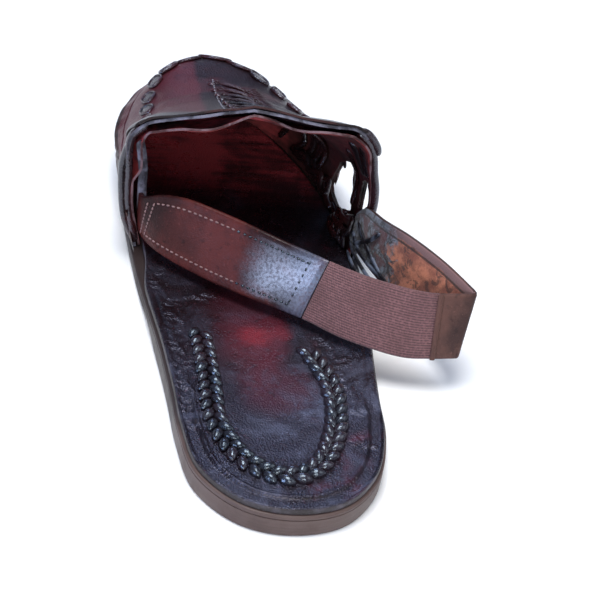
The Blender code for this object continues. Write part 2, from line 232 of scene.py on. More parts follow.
Shoulder = namedtuple("Shoulder", "girth out up")
INNER_SHOULDER = [Shoulder(0.0, 0.0, 0.0), Shoulder(0.1, 1.0, 0.0), Shoulder(0.2, 2.0, 0.0),
                  Shoulder(0.3, 2.6, 0.0), Shoulder(0.4, 4.2, 0.0), Shoulder(0.5, 7.2, 2.6),
                  Shoulder(0.6, 4.8, 2.0), Shoulder(0.7, 0.6, -2.0), Shoulder(0.8, 0.0, -3.8),
                  Shoulder(0.9, 0.0, -2.0), Shoulder(1.0, 0.0, 0.0)]
OUTER_SHOULDER = [Shoulder(0.0, 0.0, 0.0), Shoulder(0.2, -1.5, 0.0), Shoulder(0.3, -2.2, 0.0),
                  Shoulder(0.4, -1.8, 0.0), Shoulder(0.5, 1.2, 1.0), Shoulder(0.6, 1.6, 1.6),
                  Shoulder(0.7, 0.0, -1.6), Shoulder(0.8, 0.0, -2.4), Shoulder(0.9, 0.0, -1.5),
                  Shoulder(1.0, 0.0, 0.0)]
for rows, way, from_corner in ((INNER_SHOULDER, -1, COLUMNS), (OUTER_SHOULDER, 1, OUTER_CORNER - COLUMNS)):
    along_girth = curve_through(rows, 16)
    out, up = [np.interp(GIRTHS, along_girth[:, 0], along_girth[:, k]) for k in (1, 2)]
    fade = 1 - smooth(from_corner, 0.5, 9.0)
    SKIN[..., 0] += way * fade[:, None] * out
    SKIN[..., 2] += fade[:, None] * up

up_way = np.gradient(SKIN, axis=1)
round_way = np.gradient(SKIN, axis=0)
SKIN_NORMAL = np.cross(up_way, round_way)
SKIN_NORMAL[:, -1] = SKIN_NORMAL[:, -2]
SKIN_NORMAL /= np.linalg.norm(SKIN_NORMAL, axis=2)[..., None]
SKIN_NORMAL[:, -1] = np.where(SKIN_NORMAL[:, -1, 2:] > 0, SKIN_NORMAL[:, -1], (0.0, 0.0, 1.0))


def skin(column, girth, lift=0.0):
    """Points on the upper, lifted off its outer face by lift."""
    column, girth, lift = np.broadcast_arrays(*[np.asarray(v, float) for v in (column, girth, lift)])
    c = np.clip((column - COLUMNS[0]) * FINE, 0, len(COLUMNS) - 1.001)
    g = np.clip(girth, 0, 1) * GIRTH_STEPS
    i, j = c.astype(int), np.minimum(g.astype(int), GIRTH_STEPS - 1)
    a, b = (c - i)[..., None], (g - j)[..., None]

    def blend(table):
        return ((table[i, j] * (1 - a) + table[i + 1, j] * a) * (1 - b)
                + (table[i, j + 1] * (1 - a) + table[i + 1, j + 1] * a) * b)

    normal = blend(SKIN_NORMAL)
    normal /= np.linalg.norm(normal, axis=-1)[..., None]
    return blend(SKIN) + normal * lift[..., None]


def up_wall(column, up, lift=0.0):
    """The same, by millimetres up the wall from the sole."""
    return skin(column, up / np.interp(column, COLUMNS, GIRTH_LENGTH), lift)


print("creases pressed in:", len(CREASES))

# %% [markdown]
# ## Ways of working
# Nearly every piece of a shoe is a flat cut of leather that is bent to shape. So the main tool lays a grid
# primitive: each of its points has a share across and a share along the cut, and moves to its place on the
# shoe. Thickness and rounded edges come from modifiers. Small things that repeat are modelled once, then
# copied.

# %% Modelling helpers
MERGE_REACH = 0.01


def laid_sheet(name, across, along, place):
    """A grid primitive bent to shape: place(u, v) gives millimetres in the shoe frame."""
    bpy.ops.object.select_all(action="DESELECT")
    bpy.ops.mesh.primitive_grid_add(x_subdivisions=across, y_subdivisions=along, size=1.0,
                                    location=(0, 0, 0))
    piece = bpy.context.object
    piece.name = piece.data.name = name
    flat = np.empty(len(piece.data.vertices) * 3)
    piece.data.vertices.foreach_get("co", flat)
    flat = flat.reshape(-1, 3)
    placed = place(flat[:, 0] + 0.5, flat[:, 1] + 0.5)
    piece.data.vertices.foreach_set("co", ((placed + SHIFT) * MM).ravel())
    piece.data.update()
    return piece


def only(piece):
    bpy.ops.object.select_all(action="DESELECT")
    piece.select_set(True)
    bpy.context.view_layer.objects.active = piece


def close_seams(piece, turn_out=True):
    """Merges points that meet, and turns the faces of a closed piece outwards."""
    only(piece)
    bpy.ops.object.mode_set(mode="EDIT")
    bpy.ops.mesh.select_all(action="SELECT")
    bpy.ops.mesh.remove_doubles(threshold=MERGE_REACH * MM)
    if turn_out:
        bpy.ops.mesh.normals_make_consistent(inside=False)
    bpy.ops.object.mode_set(mode="OBJECT")
    return piece


def modify(piece, kind, **settings):
    """Adds one modifier and applies it."""
    only(piece)
    modifier = piece.modifiers.new(kind.title(), kind)
    for key, value in settings.items():
        setattr(modifier, key, value)
    bpy.ops.object.modifier_apply(modifier=modifier.name)
    return piece


def thicken(piece, thick, offset=-1.0, rim=0, edge=0.25):
    """Gives a cut its leather thickness, and eases its edges."""
    modify(piece, "SOLIDIFY", thickness=thick * MM, offset=offset, material_offset_rim=rim,
           use_even_offset=False)
    if edge:
        modify(piece, "BEVEL", width=edge * MM, segments=2, limit_method="ANGLE",
               angle_limit=math.radians(50))
    return piece


def joined(parts, name):
    bpy.ops.object.select_all(action="DESELECT")
    for part in parts:
        part.select_set(True)
    bpy.context.view_layer.objects.active = parts[0]
    if len(parts) > 1:
        bpy.ops.object.join()
    piece = bpy.context.view_layer.objects.active
    piece.name = piece.data.name = name
    return piece


def copies(model, places, name):
    """Copies a model to each place, each copy with its own mesh, and joins them."""
    made = []
    for place in places:
        twin = bpy.data.objects.new(name, model.data.copy())
        bpy.context.scene.collection.objects.link(twin)
        twin.data.transform(place)
        made.append(twin)
    bpy.data.objects.remove(model)
    return joined(made, name)


def stand(point, normal, along, size=(1.0, 1.0, 1.0)):
    """A place for a copy: point in shoe millimetres, z on the normal, x along."""
    z = Vector(normal).normalized()
    x = Vector(along)
    x = (x - z * x.dot(z)).normalized()
    y = z.cross(x)
    turn = Matrix((x * size[0], y * size[1], z * size[2])).transposed().to_4x4()
    return Matrix.Translation(Vector((np.array(point) + SHIFT) * MM)) @ turn


def tinted(piece, low=0.0, high=1.0):
    """Stores one random share per loose part, so that neighbours differ in tone."""
    data = piece.data
    near = list(range(len(data.vertices)))

    def root(k):
        while near[k] != k:
            near[k] = near[near[k]]
            k = near[k]
        return k

    for edge in data.edges:
        a, b = root(edge.vertices[0]), root(edge.vertices[1])
        near[b] = a
    tone = {}
    values = [tone.setdefault(root(k), chance.uniform(low, high)) for k in range(len(data.vertices))]
    data.attributes.new("tint", "FLOAT", "POINT").data.foreach_set("value", values)
    return piece


def done(piece, finishes, nodes=(), angle=40.0):
    """Gives a piece its finishes and smooth faces, hangs it on the root body, and hides the CAD nodes that
    it replaces.
    """
    for place, finish in enumerate(finishes):
        if place < len(piece.data.materials):
            piece.data.materials[place] = finish
        else:
            piece.data.materials.append(finish)
    only(piece)
    bpy.ops.object.shade_smooth_by_angle(angle=math.radians(angle))
    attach(piece, "root")
    if nodes:
        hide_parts(*nodes)
    triangles = sum(len(polygon.vertices) - 2 for polygon in piece.data.polygons)
    print(f"{piece.name}: {len(piece.data.vertices)} points, {triangles} triangles")
    return piece


# %% [markdown]
# ## A small language for finishes
# A finish is a tree of shader nodes. Wiring nodes by hand hides what a finish means, so a socket is
# wrapped in a small class that takes part in sums: `0.3 + 0.2 * grain` adds the Math nodes for it. Every
# other node comes from one method, which takes the node's type, its settings, and the values or links of
# its sockets.

# %% Shader sums
class Tone:
    """One socket that can be used in sums."""

    def __init__(self, finish, socket):
        self.finish, self.socket = finish, socket

    def sum(self, how, first, second):
        return self.finish.node("ShaderNodeMath", {"operation": how}, {0: first, 1: second})

    def __add__(self, other):
        return self.sum("ADD", self, other)

    def __sub__(self, other):
        return self.sum("SUBTRACT", self, other)

    def __rsub__(self, other):
        return self.sum("SUBTRACT", other, self)

    def __mul__(self, other):
        return self.sum("MULTIPLY", self, other)

    __radd__, __rmul__ = __add__, __mul__


class Finish:
    """One material and its node tree."""

    def __init__(self, name):
        self.material = bpy.data.materials.new(name)
        self.material.use_nodes = True
        self.tree = self.material.node_tree
        self.shader = self.tree.nodes["Principled BSDF"]
        self.object = self.node("ShaderNodeTexCoord", output="Object")
        self.uv = self.node("ShaderNodeTexCoord", output="UV")

    def node(self, kind, settings=None, inputs=None, output=0):
        node = self.tree.nodes.new(kind)
        for key, value in (settings or {}).items():
            setattr(node, key, value)
        for key, value in (inputs or {}).items():
            self.feed(node.inputs[key], value)
        return Tone(self, node.outputs[output])

    def feed(self, socket, value):
        if isinstance(value, Tone):
            self.tree.links.new(value.socket, socket)
        else:
            if isinstance(value, tuple) and len(value) != len(socket.default_value):
                value = (*value, 1.0)
            socket.default_value = value

    def noise(self, scale, detail=3.0, rough=0.55, where=None, twist=0.0):
        return self.node("ShaderNodeTexNoise", {},
                         {"Vector": where or self.object, "Scale": scale, "Detail": detail,
                                                    "Roughness": rough, "Distortion": twist})

    def cells(self, scale):
        return self.node("ShaderNodeTexVoronoi", {}, {"Vector": self.object, "Scale": scale})

    def step(self, value, low, high, start=0.0, end=1.0):
        """A soft step of value from low to high."""
        return self.node("ShaderNodeMapRange", {"interpolation_type": "SMOOTHSTEP"},
                         {0: value, 1: low, 2: high, 3: start, 4: end})

    def mix(self, share, first, second):
        return self.node("ShaderNodeMix", {"data_type": "RGBA"}, {0: share, 6: first, 7: second}, 2)

    def stretched(self, where, x, y, z):
        return self.node("ShaderNodeMapping", {}, {"Vector": where, "Scale": (x, y, z)})

    def part(self, where, axis):
        return self.node("ShaderNodeSeparateXYZ", {}, {0: where}, axis)

    def bump(self, height, strength, depth):
        return self.node("ShaderNodeBump", {},
                         {"Height": height, "Strength": strength, "Distance": depth * MM})

    def paint(self, **sockets):
        for key, value in sockets.items():
            self.feed(self.shader.inputs[key.replace("_", " ")], value)
        return self.material


print("finishes are mixed from", Tone.__name__, "and", Finish.__name__)

# %% [markdown]
# ## Oxblood leather
# The upper is hand-dyed leather: nearly black, rubbed back to red-brown in soft patches, with a fine
# pebbled grain under a waxy shine. A plain dark colour would look like plastic, so three layers carry it:
# broad patches choose between the two dyes, small cells make the grain as a bump, and a thin coat with its
# own slow change of weight gives the waxed sheen. One function mixes all leather finishes of the sandal,
# each with its own dyes.

# %% The leather recipe
def leather(name, dark, warm, patches=(20.0, 0.46, 0.66), rough=0.40, grain=0.55, coat=0.45, shine=0.35,
            tint=False, warm_at=(), panel=None, wax_at=(),
            toe_at=None, red_and_sheen_at=(), glow=(0.300, 0.0170, 0.0270), gleam=(1.0, 1.0, 1.0), mottle=0.34,
            painted_bluish_sheen=None):
    """dark and warm are the two dyes. warm_at lists (x, y, z, radius, share) where the dark one is rubbed
    back, and wax_at the same for spots of wax. panel is (across, share) of a warm panel that ends at a
    straight seam. toe_at is the stretch along the foot where the polish ends and the bare red-brown hide
    begins. glow and its list of spots give a third colour: bright red where the dye is rubbed through, or a
    painted blue highlight. gleam is the colour that the polish gives to the gloss, and mottle is how far
    the gloss comes and goes. The last argument is the colour of a painted bluish sheen, which lies in
    patches, most of all at the heel."""
    finish = Finish(name)
    broad = finish.noise(patches[0], 5.0, 0.6, twist=0.4)

    def with_spots(amount, spots):
        for x, y, z, radius, share in spots:
            centre = tuple((np.array((x, y, z)) + SHIFT) * MM)
            apart = finish.node("ShaderNodeVectorMath", {"operation": "DISTANCE"},
                                {0: finish.object, 1: centre}, "Value")
            ragged = apart + (broad - 0.5) * (0.9 * radius * MM)
            amount = amount + finish.step(ragged, 0.25 * radius * MM, radius * MM, share, 0.0)
        return amount

    warmth = with_spots(finish.step(broad, patches[1], patches[2]), warm_at)
    if panel:
        seam = (panel[0] + SHIFT[0]) * MM
        warmth = warmth + finish.step(finish.part(finish.object, 0), seam - 2.2 * MM, seam + 1.2 * MM,
                                      panel[1], 0.0)
    if tint:
        own = finish.node("ShaderNodeAttribute", {"attribute_name": "tint"}, output="Fac")
        warmth = warmth * 0.6 + own * 0.7
    warmth = finish.step(warmth, 0.0, 1.0)
    speckle = finish.noise(950.0, 2.0)
    colour = finish.mix(warmth, dark, warm)
    colour = finish.mix(finish.step(speckle, 0.60, 0.78) * 0.35, colour,
                        tuple(min(1.0, 1.9 * c + 0.012) for c in warm))
    colour = finish.mix(finish.step(finish.noise(320.0, 4.0), 0.56, 0.72) * 0.55, colour,
                        tuple(0.35 * c for c in dark))
    # Painted bluish sheen: patches of a lighter blue-grey laid into the colour, strongest towards the heel.
    if painted_bluish_sheen:
        sheen_patches = finish.step(finish.noise(46.0, 7.0, 0.8, twist=0.7), 0.47, 0.66)
        heelward = finish.step(finish.part(finish.object, 1), (55 + SHIFT[1]) * MM, (112 + SHIFT[1]) * MM,
                               1.0, 0.25)
        colour = finish.mix(sheen_patches * heelward, colour, painted_bluish_sheen)
    # Spots of a third colour: red where the dye is rubbed through, or a painted highlight.
    if red_and_sheen_at:
        colour = finish.mix(with_spots(0.0 * broad, red_and_sheen_at) * finish.step(speckle, 0.34, 0.62, 0.55, 1.0),
                            colour, glow)
    if toe_at:
        bare = finish.step(finish.part(finish.object, 1), *[(y + SHIFT[1]) * MM for y in toe_at])
        level = finish.noise(1.0, 5.0, 0.65, finish.stretched(finish.object, 30.0, 300.0, 30.0))
        hide_tone = finish.mix(finish.step(broad * 0.7 + level * 0.45, 0.48, 0.66), (0.046, 0.0120, 0.0150),
                               (0.300, 0.0420, 0.0520))
        colour = finish.mix(bare, colour, hide_tone)
    pebble = finish.cells(1250.0)
    fine = finish.noise(2600.0, 3.0)
    scratch = finish.noise(60.0, 6.0, 0.7, finish.stretched(finish.object, 1.0, 6.0, 2.0))
    height = pebble * 0.55 + fine * 0.35 + scratch * 0.5
    wear = finish.step(finish.noise(900.0, 3.0), 0.36, 0.60, 0.45, 1.0)
    return finish.paint(
        Base_Color=colour,
        Roughness=rough + mottle * (finish.noise(70.0, 4.0) - 0.5) + 0.10 * (speckle - 0.5),
        Coat_Weight=with_spots(coat * finish.step(finish.noise(32.0, 3.0), 0.30, 0.62, 0.35, 1.0),
                               wax_at) * wear,
        Coat_Roughness=0.24, Specular_IOR_Level=shine, Specular_Tint=gleam,
        Normal=finish.bump(height, grain, 0.4))


vamp_leather = leather("oxblood_vamp", (0.011, 0.0055, 0.0070), (0.080, 0.0140, 0.0200), (20.0, 0.56, 0.82),
                       rough=0.36, grain=0.8, coat=0.0, shine=0.26, panel=(-24.0, 0.70),
                       gleam=(0.95, 0.62, 0.78))
band_leather = leather("oxblood_band", (0.010, 0.0060, 0.0075), (0.036, 0.0095, 0.0110), rough=0.34,
                       grain=0.7, coat=0.04, shine=0.45, gleam=(0.80, 0.84, 1.0))
thong_leather = leather("oxblood_thong", (0.009, 0.0045, 0.0050), (0.050, 0.0100, 0.0095), rough=0.28,
                        coat=0.10, shine=0.8, tint=True, gleam=(0.84, 0.88, 1.0))
loop_leather = leather("oxblood_loop", (0.014, 0.0055, 0.0060), (0.056, 0.0110, 0.0120), rough=0.26,
                       coat=0.15, shine=0.9, tint=True, gleam=(0.74, 0.84, 1.0))
plait_leather = leather("plaited_leather", (0.016, 0.0062, 0.0060), (0.078, 0.0230, 0.0150),
                        (45.0, 0.44, 0.66), rough=0.42, coat=0.05, tint=True)
print("leathers so far:", len([m for m in bpy.data.materials if m.name.startswith(("oxblood", "plaited"))]))

# %% [markdown]
# ## Footbed, strap and lining leather
# The same recipe with other dyes. The footbed is polished by the foot to a dark, wet-looking shine with a
# red glow under the arch, and a painted bluish sheen lies in patches on it, most of all at the heel. The
# strap is redder at its inner end, and near the elastic it carries a painted blue highlight. The lining has
# level wrinkles and dark patches, is painted darker towards its outer side as shade, and is bright red at
# its torn edge, for which the piece will carry its distance from the throat as an attribute.

# %% More leathers
# The footbed's blue-grey patches are a painted sheen; its red spots are rubbed-through dye.
footbed_leather = leather("footbed_leather", (0.0065, 0.0034, 0.0046), (0.070, 0.0110, 0.0180),
                          (30.0, 0.56, 0.80), rough=0.30, grain=0.9, coat=0.0, shine=0.7,
                          gleam=(0.72, 0.73, 1.0), mottle=0.5, painted_bluish_sheen=(0.056, 0.0600, 0.0920),
                          red_and_sheen_at=[(-7, 95, 12, 9, 0.5), (4, 97, 12, 6, 0.25)],
                          warm_at=[(-6, 94, 12, 20, 0.85), (2, 64, 12, 22, 0.55), (-6, 112, 12, 26, 0.45),
                                   (-14, 84, 12, 26, 0.25)], toe_at=(186.0, 216.0))
grain_leather = leather("footbed_plait", (0.0085, 0.0060, 0.0090), (0.020, 0.0080, 0.0115), rough=0.26,
                        grain=0.4, coat=0.6, shine=1.0, gleam=(0.60, 0.80, 1.0), tint=True)
strap_leather = leather("strap_leather", (0.018, 0.0060, 0.0065), (0.085, 0.0180, 0.0160),
                        (22.0, 0.38, 0.62), rough=0.36, grain=0.45, coat=0.0, shine=0.10,
                        wax_at=[(12, 105, 28, 30, 1.0), (2, 112, 27, 14, 0.35)],
                        # Painted highlight: a blue-grey spot near the elastic, laid into the colour where
                        # the lamp's reflection does not reach.
                        red_and_sheen_at=[(17, 104, 24, 17, 0.75), (15, 107, 38, 14, 0.5)],
                        glow=(0.150, 0.1800, 0.2600),
                        warm_at=[(-30, 132, 28, 24, 0.5), (-20, 124, 22, 14, 0.4),
                                 (-12, 120, 34, 12, 0.35)])
fold_leather = leather("fold_leather", (0.045, 0.0205, 0.0180), (0.105, 0.0470, 0.0370), (30.0, 0.42, 0.66),
                       rough=0.50, coat=0.0, shine=0.25)
# Painted highlight: cut edges are painted blue-grey for the glint of the sky on them.
edge_highlight = leather("edge_highlight", (0.030, 0.0280, 0.0380), (0.150, 0.1450, 0.1900), (110.0, 0.38, 0.62),
                   rough=0.5, coat=0.0, shine=0.3)
# Painted reflection: the lashings' blue-grey colour stands for the sky's reflection on them.
lashing_painted_reflection = leather("lashing_painted_reflection", (0.014, 0.0130, 0.0180), (0.130, 0.1550, 0.2200),
                          (130.0, 0.42, 0.60), rough=0.45, coat=0.0, shine=0.4)
torn_edge = leather("torn_edge", (0.050, 0.0190, 0.0200), (0.170, 0.1050, 0.1200), (120.0, 0.36, 0.60),
                    rough=0.6, coat=0.0, shine=0.2)
# Painted sheen: the footbed's edge is mottled from dark to a light blue-grey that stands for its rim
# highlight.
footbed_edge_sheen = leather("footbed_edge_sheen", (0.016, 0.0095, 0.0110), (0.100, 0.0850, 0.1080), (34.0, 0.44, 0.66),
                       rough=0.42, coat=0.0, shine=0.5)
raw_edge = leather("raw_edge", (0.010, 0.0055, 0.0060), (0.040, 0.0130, 0.0130), (70.0, 0.38, 0.60),
                   rough=0.62, grain=0.8, coat=0.0, shine=0.25)
hide_inside = Finish("lining_leather")
back = hide_inside.node("ShaderNodeAttribute", {"attribute_name": "back"}, output="Fac")
wrinkle = hide_inside.noise(1.0, 5.0, 0.65, hide_inside.stretched(hide_inside.object, 28.0, 28.0, 300.0))
blotch = hide_inside.noise(30.0, 4.0, 0.6, twist=0.6)
lining_tone = hide_inside.mix(hide_inside.step(blotch * 0.75 + wrinkle * 0.35, 0.46, 0.66),
                              (0.045, 0.0150, 0.0160), (0.480, 0.0700, 0.0800))
# Painted shade: the lining darkens towards its outer side.
shade = hide_inside.step(hide_inside.part(hide_inside.object, 0), (10 + SHIFT[0]) * MM,
                         (28 + SHIFT[0]) * MM)
lining_tone = hide_inside.mix(shade * 0.88, lining_tone, (0.026, 0.0100, 0.0100))
torn = hide_inside.step(back + (hide_inside.noise(420.0, 3.0) - 0.5) * 0.6, 0.10, 0.55, 0.9, 0.0)
lining_leather = hide_inside.paint(Base_Color=hide_inside.mix(torn, lining_tone, (0.220, 0.0340, 0.0330)),
                                   Roughness=0.58, Specular_IOR_Level=0.3,
                                   Normal=hide_inside.bump(wrinkle + hide_inside.cells(700.0) * 0.25, 0.8,
                                                           0.7))
print("leathers in all:", len([m for m in bpy.data.materials if m.use_nodes]))

# %% [markdown]
# ## Suede, elastic, thread and sole edge
# The strap's inside is the rough flesh side of the hide: rust-coloured, with a nap that drinks light and
# dark scuffs; near its outer end, and along its upper rim there, it is painted blue-grey as a reflection.
# The elastic is a ribbed web, whose ribs follow the strap, so they are drawn in the piece's UV map. The
# sole's edge is stacked leather, burnished, with fine level lines in it, lighter at the heel and painted
# dark as shade beyond it.

# %% Suede, elastic, thread, sole
nap = Finish("suede_inside")
along_nap, across_nap = [nap.node("ShaderNodeAttribute", {"attribute_name": key}, output="Fac")
                         for key in ("along_strap", "across_strap")]
ragged = nap.noise(150.0, 5.0, 0.7, twist=0.8)
scuff = nap.step(nap.noise(170.0, 5.0, 0.7, twist=1.0), 0.53, 0.60)
rust = nap.mix(nap.step(nap.noise(140.0, 5.0, 0.65), 0.36, 0.62), (0.260, 0.0800, 0.0520),
               (0.600, 0.2150, 0.1250))
# Painted reflection: the strap's inside turns blue-grey near its outer end, broken by darker red patches.
grey = nap.mix(nap.step(nap.noise(190.0, 6.0, 0.75, twist=1.2), 0.42, 0.60), (0.022, 0.0170, 0.0230),
               (0.200, 0.2300, 0.2900))
grey = nap.mix(nap.step(nap.noise(95.0, 4.0, 0.6, twist=0.6), 0.52, 0.60) * 0.8, grey,
               (0.110, 0.0280, 0.0370))
tone = nap.mix(scuff * 0.7, rust, (0.040, 0.0180, 0.0180))
tone = nap.mix(nap.step(along_nap + (ragged - 0.5) * 2.6, 13.2, 13.5), tone, grey)
# Painted reflection: towards the outer end the upper rim turns blue-grey; before that it is a lighter brown
# edge.
rim_painted_reflection = nap.mix(nap.step(ragged, 0.42, 0.58), (0.030, 0.0300, 0.0380), (0.150, 0.1700, 0.2100))
rim_tone = nap.mix(nap.step(along_nap, 12.9, 13.9), (0.200, 0.1050, 0.1020), rim_painted_reflection)
tone = nap.mix(nap.step(across_nap + (ragged - 0.5) * 0.12, 0.86, 0.89), tone, rim_tone)
seam_line = nap.step(across_nap, 0.825, 0.84) * nap.step(across_nap, 0.86, 0.875, 1.0, 0.0)
suede = nap.paint(Base_Color=nap.mix(seam_line * 0.8, tone, (0.020, 0.0100, 0.0110)), Roughness=0.86
                  - 0.2 * scuff, Sheen_Weight=0.25,
                  Normal=nap.bump(nap.noise(1500.0, 4.0) + nap.noise(240.0, 3.0) - seam_line, 0.6, 0.3))

web = Finish("elastic_web")
across_web = web.part(web.uv, 1)
along_web = web.part(web.uv, 0)
rib = web.node("ShaderNodeMath", {"operation": "SINE"}, {0: across_web * (2 * math.pi * 62)})
weft = web.node("ShaderNodeMath", {"operation": "SINE"},
                {0: along_web * (2 * math.pi * 84) + across_web * (math.pi * 62)})
thread_tone = web.step(rib + weft * 0.6, -1.3, 1.3)
worn = web.step(web.noise(55.0, 4.0), 0.40, 0.66)
web_colour = web.mix(thread_tone * 0.8 + web.step(web.noise(1100.0, 2.0), 0.46, 0.68) * 0.5,
                     (0.062, 0.0240, 0.0270), (0.235, 0.1060, 0.1070))
elastic = web.paint(Base_Color=web.mix(worn * 0.35, web_colour, (0.080, 0.0310, 0.0310)), Roughness=0.78,
                    Sheen_Weight=0.15,
                    Normal=web.bump(rib * 0.5 + weft * 0.4 + web.noise(1800.0, 2.0) * 0.4, 0.55, 0.25))

thread = Finish("waxed_thread")
ply = thread.noise(1400.0, 2.0, 0.5, thread.stretched(thread.object, 1.0, 1.0, 3.0))
sewing_thread = thread.paint(Base_Color=thread.mix(ply, (0.115, 0.054, 0.054), (0.290, 0.175, 0.170)),
                             Roughness=0.6 + 0.1 * ply, Normal=thread.bump(ply, 0.4, 0.15))

pale = Finish("pale_thread")
strand = pale.noise(1400.0, 2.0)
pale_thread = pale.paint(Base_Color=pale.mix(strand, (0.080, 0.0770, 0.0960), (0.260, 0.2520, 0.3000)),
                         Roughness=0.55, Normal=pale.bump(strand, 0.4, 0.15))

edge = Finish("burnished_sole_edge")
layer = edge.noise(1.0, 4.0, 0.6, edge.stretched(edge.object, 14.0, 14.0, 900.0))
grime = edge.step(edge.noise(42.0, 6.0, 0.65), 0.42, 0.70)
edge_colour = edge.mix(layer, (0.050, 0.0270, 0.0230), (0.122, 0.0730, 0.0630))
edge_colour = edge.mix(grime * 0.45, edge_colour, (0.040, 0.0215, 0.0195))
# Painted shade: from the heel forwards the sole's edge is painted nearly black, starting at a ragged line.
painted_shade_forward = edge.step(edge.part(edge.object, 1) + (grime - 0.5) * (12 * MM), (28 + SHIFT[1]) * MM,
                     (52 + SHIFT[1]) * MM)
edge_colour = edge.mix(painted_shade_forward * 0.85, edge_colour, (0.0160, 0.0085, 0.0090))
sole_side = edge.paint(Base_Color=edge_colour, Roughness=0.50 + 0.16 * grime,
                       Coat_Weight=0.12 * (1.0 - grime), Coat_Roughness=0.3,
                       Normal=edge.bump(layer + edge.noise(700.0, 4.0) * 0.7, 0.5, 0.3))

tread = Finish("sole_underside")
fibre = tread.noise(240.0, 5.0, 0.6)
rub = tread.step(tread.noise(26.0, 5.0), 0.40, 0.64)
under = tread.mix(fibre, (0.082, 0.0430, 0.0300), (0.160, 0.0900, 0.0620))
sole_under = tread.paint(Base_Color=tread.mix(rub * 0.6, under, (0.048, 0.0270, 0.0210)), Roughness=0.74
                         - 0.12 * rub, Normal=tread.bump(fibre + tread.cells(900.0) * 0.6, 0.5, 0.3))
print("all finishes:",
      ", ".join(m.name for m in bpy.data.materials if m.use_nodes and not m.name.endswith("_material")))

# %% [markdown]
# ## The sole
# The outsole is a thick stack of leather cut to the outline. It could be extruded from a flat outline, but
# a grid rolled round it gives control of the edge: one direction of the grid runs round the outline, and
# the other from the middle line of the underside, round the edge with its shallow groove, to the middle
# line of the top. The two halves meet on the middle lines, where their points merge.

# %% Roll a solid round the outline
def outline_ring(stations):
    spread = (1 - np.cos(np.pi * np.arange(stations + 1) / stations)) / 2
    along = INNER_SIDE[0, 0] + (INNER_SIDE[-1, 0] - INNER_SIDE[0, 0]) * spread
    inner, outer = sides(along)
    points = np.vstack([np.c_[outer, along], np.c_[inner, along][-2:0:-1]])
    tangent = np.roll(points, -1, axis=0) - np.roll(points, 1, axis=0)
    tangent /= np.linalg.norm(tangent, axis=1)[:, None]
    return points, np.c_[-tangent[:, 1], tangent[:, 0]]


def rolled_solid(name, stations, edge_rows, under_steps, top_steps, relief=None):
    """edge_rows are (inset, height) pairs of functions of along, from the underside's rim to the top's."""
    points, inward = outline_ring(stations)
    count = len(points)
    partner = (count - np.arange(count)) % count
    rims = []
    for inset, height in edge_rows:
        plan = points + inward * np.broadcast_to(inset(points[:, 1]), count)[:, None]
        rims.append(np.c_[plan, np.broadcast_to(height(plan[:, 1]), count)])

    def cap(rim, height, steps, relief=None):
        middle = (rim + rim[partner]) / 2
        rows = []
        for share in np.arange(1, steps + 1) / steps:
            row = rim * (1 - share) + middle * share
            row[:, 2] = height(row[:, 1])
            if relief:
                row[:, 2] += relief(row[:, 0], row[:, 1], rim)
            rows.append(row)
        return rows

    table = cap(rims[0], edge_rows[0][1], under_steps)[::-1] + rims + cap(rims[-1], edge_rows[-1][1],
            top_steps, relief)
    table = np.array(table)
    last = len(table) - 1
    piece = laid_sheet(name, count, last, lambda u,
                       v: table[np.rint(v * last).astype(int), np.rint(u * count).astype(int) % count])
    return close_seams(piece)


sole = rolled_solid("sole", 110, [
    (lambda y: 1.0, sole_bottom),
    (lambda y: 0.25, lambda y: sole_bottom(y) + 0.3),
    (lambda y: 0.0, lambda y: sole_bottom(y) + 0.9),
    (lambda y: -0.15, lambda y: (sole_bottom(y) + sole_top(y)) / 2 - 0.8),
    (lambda y: 0.0, lambda y: sole_top(y) - 2.0),
    (lambda y: 0.5, lambda y: sole_top(y) - 1.75),
    (lambda y: 0.0, lambda y: sole_top(y) - 1.5),
    (lambda y: -0.05, lambda y: sole_top(y) - 0.6),
    (lambda y: 0.3, lambda y: sole_top(y) - 0.1),
    (lambda y: 0.9, sole_top),
], 6, 4)
for polygon in sole.data.polygons:
    polygon.material_index = int(polygon.normal.z < -0.7)
done(sole, [sole_side, sole_under], ["outsole"], 50.0)

# %% [markdown]
# ## The footbed
# The insole is one piece of polished leather. A step runs round the heel a finger's width inside its rim,
# and leaf-shaped marks are stamped beside the plait. These marks catch the light, so they are real relief:
# the top is a fine grid, and a function of the place raises or lowers each point.

# %% Footbed with its stamped leaves
Stamp = namedtuple("Stamp", "across along turn size")
STAMPS = [
    Stamp(-43.5, 137, 70, 4.6), Stamp(-42.0, 127.5, 110, 4.6), Stamp(-39.5, 116, 60, 5.0),
    Stamp(-36.6, 106, 120, 4.6), Stamp(-38.4, 97.5, 75, 4.4), Stamp(-36.4, 87, 110, 4.6),
    Stamp(-35.6, 76, 70, 4.4), Stamp(-34.4, 65, 115, 4.6), Stamp(-35.2, 54.5, 75, 4.2),
    Stamp(-33.6, 44, 120, 4.0), Stamp(-26.3, 121.5, 25, 6.0), Stamp(20.5, 93.5, 120, 4.6),
    Stamp(23.4, 81, 60, 5.6), Stamp(26.4, 69, 100, 5.2), Stamp(28.6, 54, 10, 4.4),
    Stamp(28.4, 36, 165, 4.6),
]
LEAF = [(-1.0, 0.0, 1.0, 0.0), (-0.5, 0.05, 0.15, 0.75), (-0.5, -0.05, 0.15, -0.75), (0.25, 0.05, 0.8, 0.5),
        (0.25, -0.05, 0.8, -0.5)]


def footbed_inset(y):
    return 1.0 + 4.0 * smooth(y, 122.0, 152.0)


def footbed_top(y):
    return sole_top(y) + 2.9


